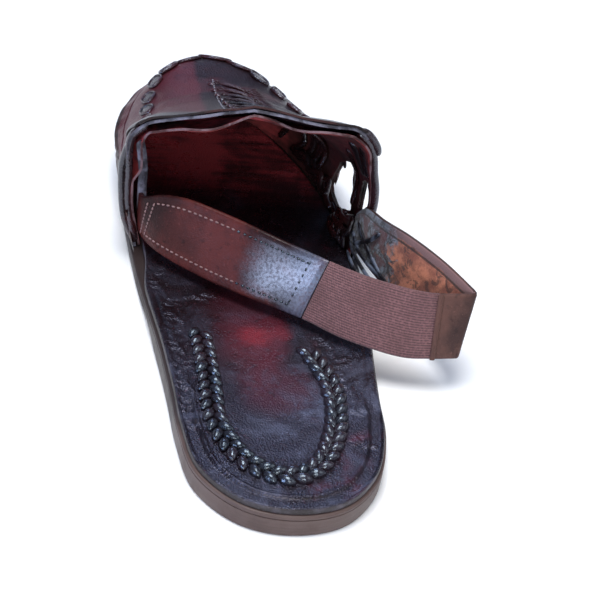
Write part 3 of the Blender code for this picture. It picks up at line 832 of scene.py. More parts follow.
def footbed_relief(x, y, rim):
    from_rim = np.sqrt(((x[:, None] - rim[None, :, 0]) ** 2
                        + (y[:, None] - rim[None, :, 1]) ** 2).min(axis=1))
    heel = 1 - smooth(y, 48.0, 66.0)
    height = -0.85 * (1 - smooth(from_rim, 4.4, 5.2)) * heel * smooth(from_rim, 0.0, 0.8)
    height += 0.55 * np.exp(-((from_rim - 5.7) / 0.6) ** 2) * heel
    height -= 0.9 * np.exp(-((x + 3) / 17) ** 2 - ((y - 48) / 26) ** 2)
    height -= 0.5 * np.exp(-((from_rim - 2.2) / 0.5) ** 2) * (1 - heel) * (1 - smooth(y, 118, 132))
    for stamp in STAMPS:
        turn = math.radians(stamp.turn)
        a, b = (x - stamp.across) / stamp.size, (y - stamp.along) / stamp.size
        p, q = a * math.cos(turn) + b * math.sin(turn), b * math.cos(turn) - a * math.sin(turn)
        near = (p * p + q * q) < 3.0
        if not near.any():
            continue
        raised = np.zeros(near.sum())
        for x0, y0, x1, y1 in LEAF:
            share = np.clip(((p[near] - x0) * (x1 - x0) + (q[near] - y0) * (y1 - y0)) / ((x1 - x0) ** 2
                    + (y1 - y0) ** 2), 0, 1)
            off = np.hypot(p[near] - x0 - share * (x1 - x0), q[near] - y0 - share * (y1 - y0))
            raised = np.maximum(raised, np.exp(-(off / 0.15) ** 2) * (1 - 0.3 * share))
        dished = np.exp(-((p[near] ** 2 + q[near] ** 2) / 1.1) ** 2)
        height[near] += 0.85 * raised - 0.35 * dished
    return height


footbed = rolled_solid("footbed", 400, [
    (footbed_inset, lambda y: sole_top(y) + GAP),
    (footbed_inset, lambda y: sole_top(y) + 2.2),
    (lambda y: footbed_inset(y) + 0.2, lambda y: sole_top(y) + 2.7),
    (lambda y: footbed_inset(y) + 0.7, footbed_top),
], 1, 58, footbed_relief)
for polygon in footbed.data.polygons:
    polygon.material_index = int(abs(polygon.normal.z) < 0.5)
done(footbed, [footbed_leather, footbed_edge_sheen], ["insole"], 60.0)
print("stamped leaves:", len(STAMPS))

# %% [markdown]
# ## The plait on the footbed
# A plaited cord is sewn in a U round the heel. A cord with a bump would stay smooth in outline, so it is
# built as it looks: two rows of fat slanting grains, like an ear of wheat. One grain is shaped from a
# small sphere, then copied along both sides of the path.

# %% One grain, copied along the U
BraidRow = namedtuple("BraidRow", "across along")
BRAID = [
    BraidRow(-28, 95), BraidRow(-26.5, 79), BraidRow(-26, 63), BraidRow(-25, 45), BraidRow(-19, 29),
    BraidRow(-10, 19.5), BraidRow(-1, 17), BraidRow(8.5, 21), BraidRow(15.5, 32), BraidRow(20, 50),
    BraidRow(19.5, 69), BraidRow(12, 90),
]
path = curve_through(BRAID, 24)
place = np.r_[0, np.cumsum(np.linalg.norm(np.diff(path, axis=0), axis=1))]
bpy.ops.object.select_all(action="DESELECT")
bpy.ops.mesh.primitive_uv_sphere_add(segments=12, ring_count=8, radius=1.0, location=(0, 0, 0))
grain = bpy.context.object
for point in grain.data.vertices:
    x, y, z = point.co
    pinch = 1 - 0.38 * abs(x) ** 2.2
    point.co = Vector((3.9 * x, 2.15 * y * pinch, 2.5 * max(z, -0.25) * pinch + 0.35 * x)) * MM
places = []
for step in np.arange(1.5, place[-1] - 1.0, 5.2):
    x, y = [float(np.interp(step, place, path[:, k])) for k in (0, 1)]
    tx, ty = [float(np.interp(step + 0.5, place, path[:, k]) - np.interp(step - 0.5, place, path[:, k]))
              for k in (0, 1)]
    for side in (-1, 1):
        lag = 1.3 * side
        gx, gy = x - ty * 2.1 * side + tx * lag, y + tx * 2.1 * side + ty * lag
        lean = math.radians(36 * side + chance.uniform(-5, 5))
        way = (tx * math.cos(lean) - ty * math.sin(lean), ty * math.cos(lean) + tx * math.sin(lean), 0)
        size = chance.uniform(0.92, 1.08)
        places.append(stand((gx, gy, footbed_top(gy) + 0.25), (0, 0, 1), way, (size, size, size)))
plait_u = tinted(copies(grain, places, "footbed_plait"))
done(plait_u, [grain_leather], ["insole_braid"], 80.0)
print("grains in the plait:", len(places))

# %% [markdown]
# ## Vamp and lining
# The upper is two hides laid together: the dark vamp outside, and a red-brown lining whose edge sags away
# from it at the throat in slow waves. Each is a grid laid on the skin table, thickened inwards. On the
# outer side the wall is cut through between its thongs. The openings are outlines on the wall: the faces
# inside them are deleted, and the points on the cut move onto the outline, so that it has no steps.

# %% Lay the vamp and its lining
# columns from the outer throat corner, millimetres up the wall
Opening = namedtuple("Opening", "column up")
OPENINGS = [
    [Opening(6.5, 3.8), Opening(4.7, 10.2), Opening(6.3, 15.5), Opening(7.4, 20.5), Opening(7.0, 27.0),
     Opening(6.5, 33.0), Opening(8.5, 27.5), Opening(10.7, 19.5), Opening(11.0, 12.0), Opening(10.4, 6.8),
     Opening(9.4, 4.8), Opening(8.0, 3.8)],
    [Opening(3.6, 15.0), Opening(1.9, 20.0), Opening(0.75, 25.5), Opening(0.8, 29.5), Opening(1.0, 33.0),
     Opening(1.3, 36.5), Opening(2.5, 34.5), Opening(4.0, 29.0), Opening(4.4, 22.0), Opening(4.1, 18.0)],
]
COLUMN_STEP = 4.44


def throat_wave(t):
    """How far the cut edge wanders forwards, in columns: inner foot 0, ridge 0.5, outer foot 1."""
    return 0.10 * np.sin(17 * t + 0.4) + 0.07 * np.sin(41 * t + 1.0)


def lining_wave(t):
    return 0.05 + 0.20 * np.sin(21 * t + 2.2) + 0.12 * np.sin(47 * t)


def lining_sag(t):
    """How far the lining stands off the vamp: waves over the foot, a wide gap at the inner back edge."""
    waves = np.clip(1.9 + 1.6 * np.sin(19 * t + 0.6) + 0.9 * np.sin(43 * t + 2.0), 0.2, 4.2)
    waves = waves * np.sin(np.pi * t) ** 0.5
    over_foot = waves * smooth(t, 0.24, 0.32) * (1 - 0.7 * smooth(t, 0.56, 0.70))
    at_back = 3.6 * smooth(t, 0.15, 0.19) * (1 - smooth(t, 0.25, 0.30))
    return 0.5 + over_foot + at_back


def inside(outline, column, up):
    hit = np.zeros(len(column), bool)
    for one, two in zip(outline, outline[1:] + outline[:1]):
        spans = (one.up > up) != (two.up > up)
        hit ^= spans & (column < (two.column - one.column) * (up - one.up) / (two.up - one.up + 1e-9)
                        + one.column)
    return hit


def cut_openings(piece, column, up, lift):
    """Deletes the faces inside the openings, and draws the cut smooth."""
    corners = np.array([polygon.vertices[:] for polygon in piece.data.polygons])
    gone = np.zeros(len(corners), bool)
    for outline in OPENINGS:
        hit = inside(outline, OUTER_CORNER - column[corners].mean(axis=1), up[corners].mean(axis=1))
        cut = np.intersect1d(corners[hit], corners[~hit])
        ends = np.array(outline)
        starts, ends = ends, np.roll(ends, -1, axis=0)
        scale = np.array((COLUMN_STEP, 1.0))
        for k in cut:
            p = np.array((OUTER_CORNER - column[k], up[k])) * scale
            a, way = starts * scale, (ends - starts) * scale
            share = np.clip(((p - a) * way).sum(axis=1) / (way * way).sum(axis=1), 0, 1)
            near = a + way * share[:, None]
            best = near[np.linalg.norm(near - p, axis=1).argmin()] / scale
            piece.data.vertices[k].co = Vector((up_wall(OUTER_CORNER - best[0], best[1], lift[k])
                                                + SHIFT) * MM)
        gone |= hit
    only(piece)
    bpy.ops.object.mode_set(mode="EDIT")
    bpy.ops.mesh.select_mode(type="FACE")
    bpy.ops.mesh.select_all(action="DESELECT")
    bpy.ops.object.mode_set(mode="OBJECT")
    piece.data.polygons.foreach_set("select", gone)
    bpy.ops.object.mode_set(mode="EDIT")
    bpy.ops.mesh.delete(type="FACE")
    bpy.ops.object.mode_set(mode="OBJECT")
    return piece


def hide(name, across, along, wave, lift):
    """A grid over the whole upper; lift(t, back) gives its place off the skin."""
    def spread(u, v):
        first, last = wave(v / 2), OUTER_CORNER - wave(1 - v / 2)
        column = last + (first - last) * u
        t = np.where(column < OUTER_CORNER / 2, v / 2, 1 - v / 2)
        return column, lift(t, np.minimum(column - first, last - column))

    shares = {}

    def place(u, v):
        column, off = spread(u, v)
        shares.update(column=column, back=np.minimum(column, OUTER_CORNER - column),
                      up=v * np.interp(column, COLUMNS, GIRTH_LENGTH), lift=off)
        return skin(column, v, off)

    piece = laid_sheet(name, across, along, place)
    piece.data.attributes.new("back", "FLOAT", "POINT").data.foreach_set("value", shares["back"])
    for slot in range(3):
        piece.data.materials.append(edge_highlight)
    cut_openings(piece, shares["column"], shares["up"], shares["lift"])
    return close_seams(piece, False)


def dark_reveals(piece):
    """The cut faces inside the openings get a third finish: the edge's dark red-brown, darker than the
    throat's edge, which on the vamp carries a painted highlight.
    """
    back = np.empty(len(piece.data.vertices), np.float32)
    piece.data.attributes["back"].data.foreach_get("value", back)
    for polygon in piece.data.polygons:
        if polygon.material_index == 1 and back[list(polygon.vertices)].min() > 0.6:
            polygon.material_index = 2


vamp = hide("vamp", 300, 66, throat_wave, lambda t, back: 0.0 * t)
thicken(vamp, 1.2, -1.0, 1)
dark_reveals(vamp)
# Painted highlight: the vamp's cut edge, its second slot, is painted blue-grey.
done(vamp, [vamp_leather, edge_highlight, raw_edge], ["upper"], 55.0)
lining = hide("vamp_lining", 240, 54, lining_wave,
              lambda t, back: -1.35 - lining_sag(t) * np.exp(-(back / 1.9) ** 2)
              - 0.25 * np.sin(9 * back + 30 * t) ** 2)
thicken(lining, 0.9, -1.0, 1)
dark_reveals(lining)
done(lining, [lining_leather, torn_edge, raw_edge], (), 55.0)

shape = vamp.data
VAMP_TREE = BVHTree.FromPolygons([point.co[:] for point in shape.vertices],
                                 [polygon.vertices[:] for polygon in shape.polygons])


def on_top(across, along):
    """The place and normal on the vamp above a point of the plan, in shoe millimetres."""
    x, y = (np.array((across, along)) + SHIFT[:2]) * MM
    place, normal, _, _ = VAMP_TREE.ray_cast(Vector((x, y, 0.2)), Vector((0, 0, -1)))
    return np.array(place) / MM - SHIFT, np.array(normal)


print("vamp above (0, 200), mm:", on_top(0, 200)[0].round(1))

# %% [markdown]
# ## Throat band
# A second strip of hide reinforces the throat. Its lower edge is a shallow arch, left raw and red, and its
# ends are held by small sewn tabs on the shoulders. It follows the throat line, so its grid runs along the
# throat from shoulder to shoulder, and its depth is given in columns of the skin.

# %% Band and tabs
BAND_START, BAND_END = 0.285, 0.715


def band_depth(t):
    """Depth of the band in columns: deeper at the inner end."""
    share = (t - BAND_START) / (BAND_END - BAND_START)
    return 3.9 - 1.3 * np.sin(np.pi * share) + 0.5 * share * share - 0.6 * share


def throat_place(t, back, lift):
    """A point by its place along the throat and its distance from the cut edge in columns."""
    inner = t < 0.5
    girth = np.where(inner, 2 * t, 2 * (1 - t))
    column = np.where(inner, throat_wave(t) + back, OUTER_CORNER - throat_wave(t) - back)
    return skin(column, girth, lift)


band = laid_sheet("throat_band", 150, 22, lambda u, v: throat_place(
    BAND_START + (BAND_END - BAND_START) * u,
    band_depth(BAND_START + (BAND_END - BAND_START) * u) * (1 - v) - 0.08 * v,
    0.15 + 0.25 * np.sin(26 * u) * v + 0.35 * (1 - v)))
if band.data.polygons[10].normal.z < 0:
    band.data.flip_normals()
band.data.materials.append(band_leather)
band.data.materials.append(raw_edge)
thicken(band, 1.1, 1.0, 1, 0.3)
done(band, [band_leather, raw_edge], (), 55.0)

tabs = []
for t, wide, lean in ((BAND_START + 0.004, 0.028, 0.05), (BAND_END - 0.006, 0.032, -0.012)):
    tab = laid_sheet("tab", 10, 22, lambda u, v, t=t, wide=wide, lean=lean: throat_place(
        t + wide * (u - 0.5) - lean * v, 0.15 + 4.5 * v, 1.6 - 1.0 * smooth(v, 0.82, 1.0) * (t > 0.5)
        - 1.0 * smooth(v, 0.7, 1.0) * (t < 0.5)
        - 0.5 * np.abs(2 * u - 1) ** 4))
    if tab.data.polygons[5].normal.z < 0:
        tab.data.flip_normals()
    tab.data.materials.append(band_leather)
    tab.data.materials.append(raw_edge)
    tabs.append(thicken(tab, 1.0, -1.0, 1, 0.25))
done(joined(tabs, "throat_tabs"), [band_leather, raw_edge], (), 55.0)

# %% [markdown]
# ## The sling strap
# The strap runs from the inner wall round the heel to the outer wall: leather, then a length of ribbed
# elastic, then leather again with a sharp fold. It is a flat band, so a grid is rolled into a closed
# section with rounded edges: one direction runs along the strap, the other round its section. The rows of
# the table are the strap's lower and upper edge. The lower edge is that of the CAD model. The upper one is
# about 7 mm lower than the CAD's at both ends, inside the wall, and up to 4 mm higher beside the outer
# wall. Each point keeps its place along and across the strap as attributes, so that a finish can follow
# the strap.

# %% Strap form
StrapRow = namedtuple("StrapRow", "low_x low_y low_z high_x high_y high_z")
STRAP = [
    StrapRow(-49, 169, 13, -50, 168, 32), StrapRow(-48.3, 157, 13, -49.3, 156, 32.5),
    StrapRow(-44, 146, 14, -42, 149, 38.2), StrapRow(-36, 137, 14, -32, 142, 41.6),
    StrapRow(-22, 124, 15, -14, 132, 40.8), StrapRow(-7, 113, 16, 4, 120, 40),
    StrapRow(12, 102, 16, 20, 107, 41), StrapRow(25, 92, 16, 33, 99, 41),
    StrapRow(38, 85, 16, 44, 94, 41), StrapRow(50, 82, 15, 53, 91, 41),
    StrapRow(61, 82, 15, 61, 90, 41), StrapRow(72, 83, 15, 76, 91, 41),
    StrapRow(62, 105, 14, 66.2, 109.2, 41.6), StrapRow(53, 122, 13, 55.2, 125.2, 41.6),
    StrapRow(46, 139, 13, 47.2, 140.2, 38.2), StrapRow(40.6, 156, 13, 43.8, 156, 32.5),
    StrapRow(40.4, 164, 13, 42.0, 164, 24),
]
SEAM_INNER, SEAM_OUTER, FOLD_ROW, FOLD_ROUND = 6, 10, 11, 0.22
STRAP_ROWS = np.array(STRAP, float)
STRAP_END = len(STRAP) - 1


def strap_row(place):
    """Lower and upper edge of the strap at a place counted in rows."""
    index = min(max(int(place), 0), len(STRAP_ROWS) - 2)
    t = place - index
    low = index if index == FOLD_ROW else max(index - 1, 0)
    high = index + 1 if index + 1 == FOLD_ROW else min(index + 2, len(STRAP_ROWS) - 1)
    a, b, c, d = STRAP_ROWS[[low, index, index + 1, high]]
    return 0.5 * (2 * b + (c - a) * t + (2 * a - 5 * b + 4 * c - d) * t * t
                  + (3 * b - a - 3 * c + d) * t ** 3)


def strap_line(place):
    """The same, with the fold drawn round."""
    if abs(place - FOLD_ROW) >= FOLD_ROUND:
        return strap_row(place)
    t = (place - FOLD_ROW + FOLD_ROUND) / (2 * FOLD_ROUND)
    start, corner, end = [strap_row(FOLD_ROW + k * FOLD_ROUND) for k in (-1, 0, 1)]
    return start * (1 - t) ** 2 + corner * 2 * t * (1 - t) + end * t * t


def strap_frame(place, share):
    """A point on the middle of the strap, its outward normal and its way along."""
    line = strap_line(place)
    ahead, behind = strap_line(min(place + 0.02, STRAP_END)), strap_line(max(place - 0.02, 0))
    way = (ahead - behind).reshape(2, 3).mean(axis=0)
    across = line[3:] - line[:3]
    normal = np.cross(way, across)
    return line[:3] + across * share, normal / np.linalg.norm(normal), way / np.linalg.norm(way)


FACE_STEPS = 16
side_shares = np.linspace(0.035, 0.965, FACE_STEPS + 1)
SECTION = [(share, 1.0) for share in side_shares] + [(0.99, 0.75), (1.0, 0.0), (0.99, -0.75)]
SECTION += [(share, -1.0) for share in side_shares[::-1]] + [(0.01, -0.75), (0.0, 0.0), (0.01, 0.75)]
ROUND = len(SECTION)


def strap_part(name, first, last, steps, thick, crown=0.0, ripple=0.0):
    """A rolled grid from one place of the strap to another, closed at its ends."""
    places = np.linspace(first, last, steps + 1)
    if first < FOLD_ROW < last:
        bend = FOLD_ROW + FOLD_ROUND * np.linspace(-1, 1, 13)
        places = np.sort(np.r_[places[np.abs(places - FOLD_ROW) > FOLD_ROUND + 0.05], bend])
    table = []
    for number, place in enumerate(places):
        ends = 0.35 if number in (0, len(places) - 1) else 1.0
        row = []
        for share, depth in SECTION:
            point, normal, _ = strap_frame(place, share)
            arch = math.sin(math.pi * share)
            bulge = crown * arch + ripple * math.sin(place * 23) * arch
            row.append(point + normal * (depth * ends * thick / 2 + bulge))
        table.append(row)
    table = np.array(table)
    last_row = len(table) - 1
    piece = laid_sheet(name, last_row, ROUND, lambda u,
                       v: table[np.rint(u * last_row).astype(int), np.rint(v * ROUND).astype(int) % ROUND])
    along, across = np.meshgrid(places, [share for share, _ in SECTION + SECTION[:1]])
    for key, values in (("along_strap", along), ("across_strap", across)):
        piece.data.attributes.new(key, "FLOAT", "POINT").data.foreach_set("value", values.ravel())
    close_seams(piece, False)
    only(piece)
    bpy.ops.object.mode_set(mode="EDIT")
    bpy.ops.mesh.select_all(action="SELECT")
    bpy.ops.mesh.region_to_loop()
    bpy.ops.mesh.fill_holes(sides=0)
    bpy.ops.mesh.select_all(action="SELECT")
    bpy.ops.mesh.normals_make_consistent(inside=False)
    bpy.ops.object.mode_set(mode="OBJECT")
    return piece


def inside_faces(piece, start, end, slot):
    """Gives the faces on the strap's inner side another slot."""
    lines = [strap_frame(place, 0.5) for place in np.linspace(start, end, 80)]
    middles = np.array([line[0] for line in lines])
    normals = np.array([line[1] for line in lines])
    for polygon in piece.data.polygons:
        centre = np.array(polygon.center) / MM - SHIFT
        near = np.linalg.norm(middles[:, :2] - centre[:2], axis=1).argmin()
        if np.dot(np.array(polygon.normal), normals[near]) < -0.5:
            polygon.material_index = slot
    return piece


BUTT = 0.012
strap_inner = strap_part("strap_inner_leather", 0.0, SEAM_INNER - BUTT, 90, 2.1, 0.35)
inside_faces(strap_inner, 0, SEAM_INNER, 1)
done(strap_inner, [strap_leather, suede], ["strap_inner"], 55.0)
strap_web = strap_part("strap_elastic_web", SEAM_INNER + BUTT, SEAM_OUTER - BUTT, 70, 1.5, 0.2, 0.06)
done(strap_web, [elastic], ["strap_elastic"], 55.0)
strap_outer = strap_part("strap_outer_leather", SEAM_OUTER + BUTT, STRAP_END, 90, 2.0)
inside_faces(strap_outer, SEAM_OUTER, STRAP_END, 1)
done(strap_outer, [fold_leather, suede], ["strap_outer"], 55.0)

# %% [markdown]
# ## Strap stitching and seam welt
# Waxed thread holds the strap's layers: a row along each edge, two slanted rows at the inner end and one
# row before the elastic. A stitch is a short fat thread that dips into the leather at both ends, made from
# a sphere. The elastic is caught under a narrow welt at the outer seam. Where the strap is waxed and
# carries its painted blue highlight, the thread is dark.

# %% Stitches
def stitch_model(long, wide, high):
    bpy.ops.object.select_all(action="DESELECT")
    bpy.ops.mesh.primitive_uv_sphere_add(segments=8, ring_count=6, radius=1.0, location=(0, 0, 0))
    model = bpy.context.object
    for point in model.data.vertices:
        x, y, z = point.co
        point.co = Vector((x * long / 2, y * wide / 2, z * high / 2 - 0.35 * high * x * x)) * MM
    return model


def strap_row_of_stitches(start, end, spacing, lift):
    """Places of stitches between two (place, share) points of the strap."""
    dense = [(start[0] + (end[0] - start[0]) * k / 200, start[1] + (end[1] - start[1]) * k / 200)
             for k in range(201)]
    points = [strap_frame(*spot) for spot in dense]
    length = np.r_[0, np.cumsum([np.linalg.norm(b[0] - a[0]) for a, b in zip(points, points[1:])])]
    made = []
    for step in np.arange(spacing / 2, length[-1], spacing):
        k = min(int(np.searchsorted(length, step)), 199)
        point, normal, _ = points[k]
        made.append(stand(point + normal * lift, normal, points[k + 1][0] - points[k][0]))
    return made


WAXED_FROM = -14.0         # across the foot, where the dark thread starts
rows = [((1.55, 0.16), (5.66, 0.14), 2.442), ((1.85, 0.84), (5.66, 0.85), 2.442),
        ((5.66, 0.14), (5.66, 0.86), 2.96), ((1.50, 0.14), (1.80, 0.86), 1.924),
        ((1.22, 0.10), (1.50, 0.90), 1.924)]
spots = [spot for start, end, spacing in rows for spot in strap_row_of_stitches(start, end, spacing, 1.42)]
waxed = [spot for spot in spots if spot.translation.x / MM - SHIFT[0] > WAXED_FROM]
spots = [spot for spot in spots if spot.translation.x / MM - SHIFT[0] <= WAXED_FROM]
waxed += [spot for share in (0.13, 0.87)
          for spot in strap_row_of_stitches((11.5, share), (15.0, share), 3.4, 1.05)]
done(copies(stitch_model(1.75, 0.8, 0.7), spots, "strap_stitches"), [sewing_thread], (),
     80.0)
done(copies(stitch_model(1.7, 0.9, 0.7), waxed, "strap_waxed_stitches"), [grain_leather],
     (), 80.0)
print("strap stitches:", len(spots) + len(waxed))

# %% Welt
def strap_patch(name, start, end, low_share, high_share, lift, thick, dome=0.4):
    """A thin cut laid on the outer face of the strap."""
    def place(u, v):
        made = []
        for a, b in zip(u, v):
            point, normal, _ = strap_frame(start + (end - start) * a,
                                           low_share + (high_share - low_share) * b)
            ease = dome * (1 - abs(2 * a - 1) ** 3)
            made.append(point + normal * (lift + ease))
        return np.array(made)

    piece = laid_sheet(name, 10, 24, place)
    normal = strap_frame((start + end) / 2, 0.5)[1]
    if np.dot(np.array(piece.data.polygons[120].normal), normal) < 0:
        piece.data.flip_normals()
    piece.data.materials.append(fold_leather)
    return thicken(piece, thick, -1.0, 0, 0.2)


welt = strap_patch("strap_welts", 9.90, 10.10, 0.0, 1.0, 1.35, 0.8)
done(welt, [fold_leather], (), 55.0)

# %% [markdown]
# ## Almond loops
# A thong is drawn through the vamp's edge all the way round in fat loops, each an almond-shaped ring with
# a bright, smooth leather eye in it. A torus gives the ring and a flattened sphere the eye; pinching both
# ends makes the almond. The rows of the table are places on the skin, from the inner side round the toe to
# the outer side.

# %% Loops round the vamp
Loop = namedtuple("Loop", "column girth long wide lean")
LOOPS = [
    Loop(3.6, 0.53, 9, 5.5, 32), Loop(6.0, 0.54, 9.5, 6, 26), Loop(8.5, 0.545, 10, 6, 18),
    Loop(11.1, 0.55, 10.5, 6.2, 14), Loop(13.8, 0.56, 11, 6.6, 8), Loop(16.6, 0.60, 12, 7.4, 4),
    Loop(19.3, 0.66, 12.5, 8, 0), Loop(22.3, 0.70, 13, 8, -2), Loop(25.5, 0.70, 13, 8, 2),
    Loop(28.7, 0.68, 13, 8, 4), Loop(31.6, 0.63, 12.5, 8, -2), Loop(34.4, 0.58, 11.5, 7.4, -8),
    Loop(37.2, 0.56, 10.5, 7, -14), Loop(39.9, 0.55, 10.5, 6.8, -20), Loop(42.6, 0.54, 10, 6.4, -26),
    Loop(45.2, 0.53, 9.5, 6, -30),
]
bpy.ops.object.select_all(action="DESELECT")
bpy.ops.mesh.primitive_torus_add(major_segments=28, minor_segments=8, major_radius=1.0, minor_radius=0.15,
                                 location=(0, 0, 0))
almond = bpy.context.object
bpy.ops.object.select_all(action="DESELECT")
bpy.ops.mesh.primitive_uv_sphere_add(segments=20, ring_count=10, radius=0.9, location=(0, 0, 0))
eye = bpy.context.object
for point in eye.data.vertices:
    point.co.z *= 0.10
almond = joined([almond, eye], "almond")
for point in almond.data.vertices:
    x, y, z = point.co
    point.co = Vector((0.5 * x, 0.5 * y * (1 - 0.34 * x * x), 0.8 * z)) * MM
places = []
for loop in LOOPS:
    spot = skin(loop.column, loop.girth, 0.45)
    normal = skin(loop.column, loop.girth, 1.45) - spot
    way = skin(loop.column + 0.3, loop.girth) - skin(loop.column - 0.3, loop.girth)
    way = np.array(Matrix.Rotation(math.radians(loop.lean), 3, Vector(normal)) @ Vector(way))
    places.append(stand(spot, normal, way,
                        (loop.long * chance.uniform(0.9, 1.05), loop.wide * chance.uniform(0.88, 1.08),
                         7.0)))
loops = tinted(copies(almond, places, "vamp_loops"), 0.1, 0.7)
done(loops, [loop_leather], (), 80.0)

# %% [markdown]
# ## Lacing on top of the vamp
# Down the middle of the vamp runs a decoration in thong: a row of slanting laces from hole to hole, fine
# ribs beside it that turn it into a herringbone, a row of short single stitches, and a dotted line of
# thread. A lace is a flat-round section swept along a few points: a grid rolled round the path, whose ends
# shrink to a point inside the leather.

# %% Sweep a thong
def thong(name, points, normals, wide, thick, steps=18, ring=8, blunt=6):
    """A flat-round thong along points, lying on normals, with both ends closed."""
    points, normals = curve_through(points, 8), curve_through(normals, 8)
    length = np.r_[0, np.cumsum(np.linalg.norm(np.diff(points, axis=0), axis=1))]
    length /= length[-1]

    def place(u, v):
        p, n, a, b = [np.c_[[np.interp(np.clip(u + shift, 0, 1), length, table[:, k]) for k in range(3)]].T
                      for table, shift in ((points, 0), (normals, 0), (points, 0.02), (points, -0.02))]
        side = np.cross(n, a - b)
        side /= np.linalg.norm(side, axis=1)[:, None]
        n = n / np.linalg.norm(n, axis=1)[:, None]
        end = np.sqrt(np.clip(1 - np.abs(2 * u - 1) ** blunt, 0, 1))
        angle = 2 * np.pi * v
        outwards, upwards = np.cos(angle) * wide / 2 * end, np.sin(angle) * thick / 2 * end
        return p + side * outwards[:, None] + n * upwards[:, None]

    return close_seams(laid_sheet(name, steps, ring, place))


def across_vamp(share, along):
    inner, outer = sides(along)
    return float(inner + (outer - inner) * share)


def lace_over(spots, lifts, wide, thick, steps=14):
    found = [on_top(*spot) for spot in spots]
    points = [point + normal * lift for (point, normal), lift in zip(found, lifts)]
    return thong("lace", points, [normal for _, normal in found], wide, thick, steps)


laces = []
for along in np.arange(176.0, 225.0, 6.8):
    start, end = (across_vamp(0.47, along + 3), along + 3), (across_vamp(0.61, along - 4), along - 4)
    spots = [(start[0] + (end[0] - start[0]) * k / 4, start[1] + (end[1] - start[1]) * k / 4)
             for k in range(5)]
    laces.append(lace_over(spots, (-0.6, 0.45, 0.6, 0.45, -0.5), 2.6, 1.6))
done(tinted(joined(laces, "vamp_laces"), 0.0, 0.2), [band_leather], (), 80.0)

ribs = []
for along in np.arange(170.5, 222.0, 1.75):
    start, end = (across_vamp(0.615, along), along), (across_vamp(0.685, along + 4), along + 4.2)
    middle = ((start[0] + end[0]) / 2, (start[1] + end[1]) / 2 - 0.3)
    ribs.append(lace_over([start, middle, end], (-0.1, 0.32, -0.1), 1.15, 0.9, 8))
done(tinted(joined(ribs, "vamp_ribs"), 0.0, 0.15), [band_leather], (), 80.0)
print("laces and ribs:", len(laces), len(ribs))

# %% Single stitches, holes and the dotted line
def on_vamp(share, along, lift, turn):
    point, normal = on_top(across_vamp(share, along), along)
    way = (math.cos(math.radians(turn)), math.sin(math.radians(turn)), 0)
    return stand(point + normal * lift, normal, way)


singles = [on_vamp(0.425, along, 0.35, -48 + chance.uniform(-8, 8))
           for along in np.arange(175.0, 226.0, 7.0)]
short = tinted(copies(stitch_model(3.8, 1.7, 1.5), singles, "vamp_short_stitches"), 0.3, 0.9)
done(short, [loop_leather], (), 80.0)
dots = []
for along in np.arange(162.0, 231.0, 2.1):
    inner, outer = sides(along)
    dots.append(on_vamp((-17.5 - inner) / (outer - inner), along, 0.12, 85))
done(copies(stitch_model(1.25, 0.85, 0.7), dots, "vamp_dotted_line"), [pale_thread], (),
     80.0)
rims = []
for along in np.arange(176.0, 225.0, 6.8):
    for share, shift in ((0.466, 3.2), (0.614, -4.2)):
        rims.append(on_vamp(share, along + shift, 0.1, 0))
bpy.ops.object.select_all(action="DESELECT")
bpy.ops.mesh.primitive_torus_add(major_segments=14, minor_segments=6, major_radius=1.25 * MM,
                                 minor_radius=0.42 * MM, location=(0, 0, 0))
done(copies(bpy.context.object, rims, "vamp_lace_holes"), [band_leather], (), 80.0)

# %% [markdown]
# ## Lip and plaited wall
# Below the loops the vamp ends in a raw red lip, and a plait of broad strips forms the low wall round the
# toe and back along the inner side. Each strip shows as a plump tile that dives under its neighbour, so a
# tile is a small grid raised in the middle, and two rows lean against each other to make the plait. Each
# tile keeps its own tone, from near black to tan.

# %% Lip
LIP_FIRST, LIP_LAST = 1.2, 39.6


def lip_place(u, v):
    column = LIP_LAST + (LIP_FIRST - LIP_LAST) * u
    ends = smooth(np.minimum(column - LIP_FIRST, LIP_LAST - column), 0.0, 3.0)
    up = 16.2 + 5.6 * v + 0.5 * np.sin(column * 1.3) + 0.3 * np.sin(column * 3.1)
    proud = 0.4 + 2.7 * ends * smooth(column, 8.0, 15.0)
    return up_wall(column, up, 0.35 + proud * (1 - v) ** 1.3)


lip = laid_sheet("vamp_lip", 240, 8, lip_place)
for polygon in lip.data.polygons:
    polygon.material_index = int(polygon.index // 240 < 3)
lip.data.materials.append(vamp_leather)
lip.data.materials.append(raw_edge)
thicken(lip, 1.0, -1.0, 0, 0.2)
done(lip, [vamp_leather, raw_edge], (), 55.0)

# %% Plaited wall
base_line = up_wall(COLUMNS, np.full(len(COLUMNS), 9.0))
PERIMETER = np.r_[0, np.cumsum(np.linalg.norm(np.diff(base_line, axis=0), axis=1))]


def wall_tile(middle, start_up, end_up, lean, wide, plump):
    """One strip of the plait, from its edge of the wall to just past the middle."""
    rising = end_up > start_up

    def place(u, v):
        flip = -1 if rising else 1
        along = middle + flip * (u - 0.5) * wide + lean * (v - 0.5)
        column = np.interp(along, PERIMETER, COLUMNS)
        dome = 1 - np.abs(2 * u - 1) ** 2.8
        ends = np.sin(np.pi * np.clip(0.10 + 0.84 * v, 0, 1)) ** 0.55
        lift = 0.15 + plump * dome * ends + 0.9 * flip * (u - 0.5) * dome * ends
        return up_wall(column, start_up + (end_up - start_up) * v, lift)

    return laid_sheet("tile", 8, 12, place)


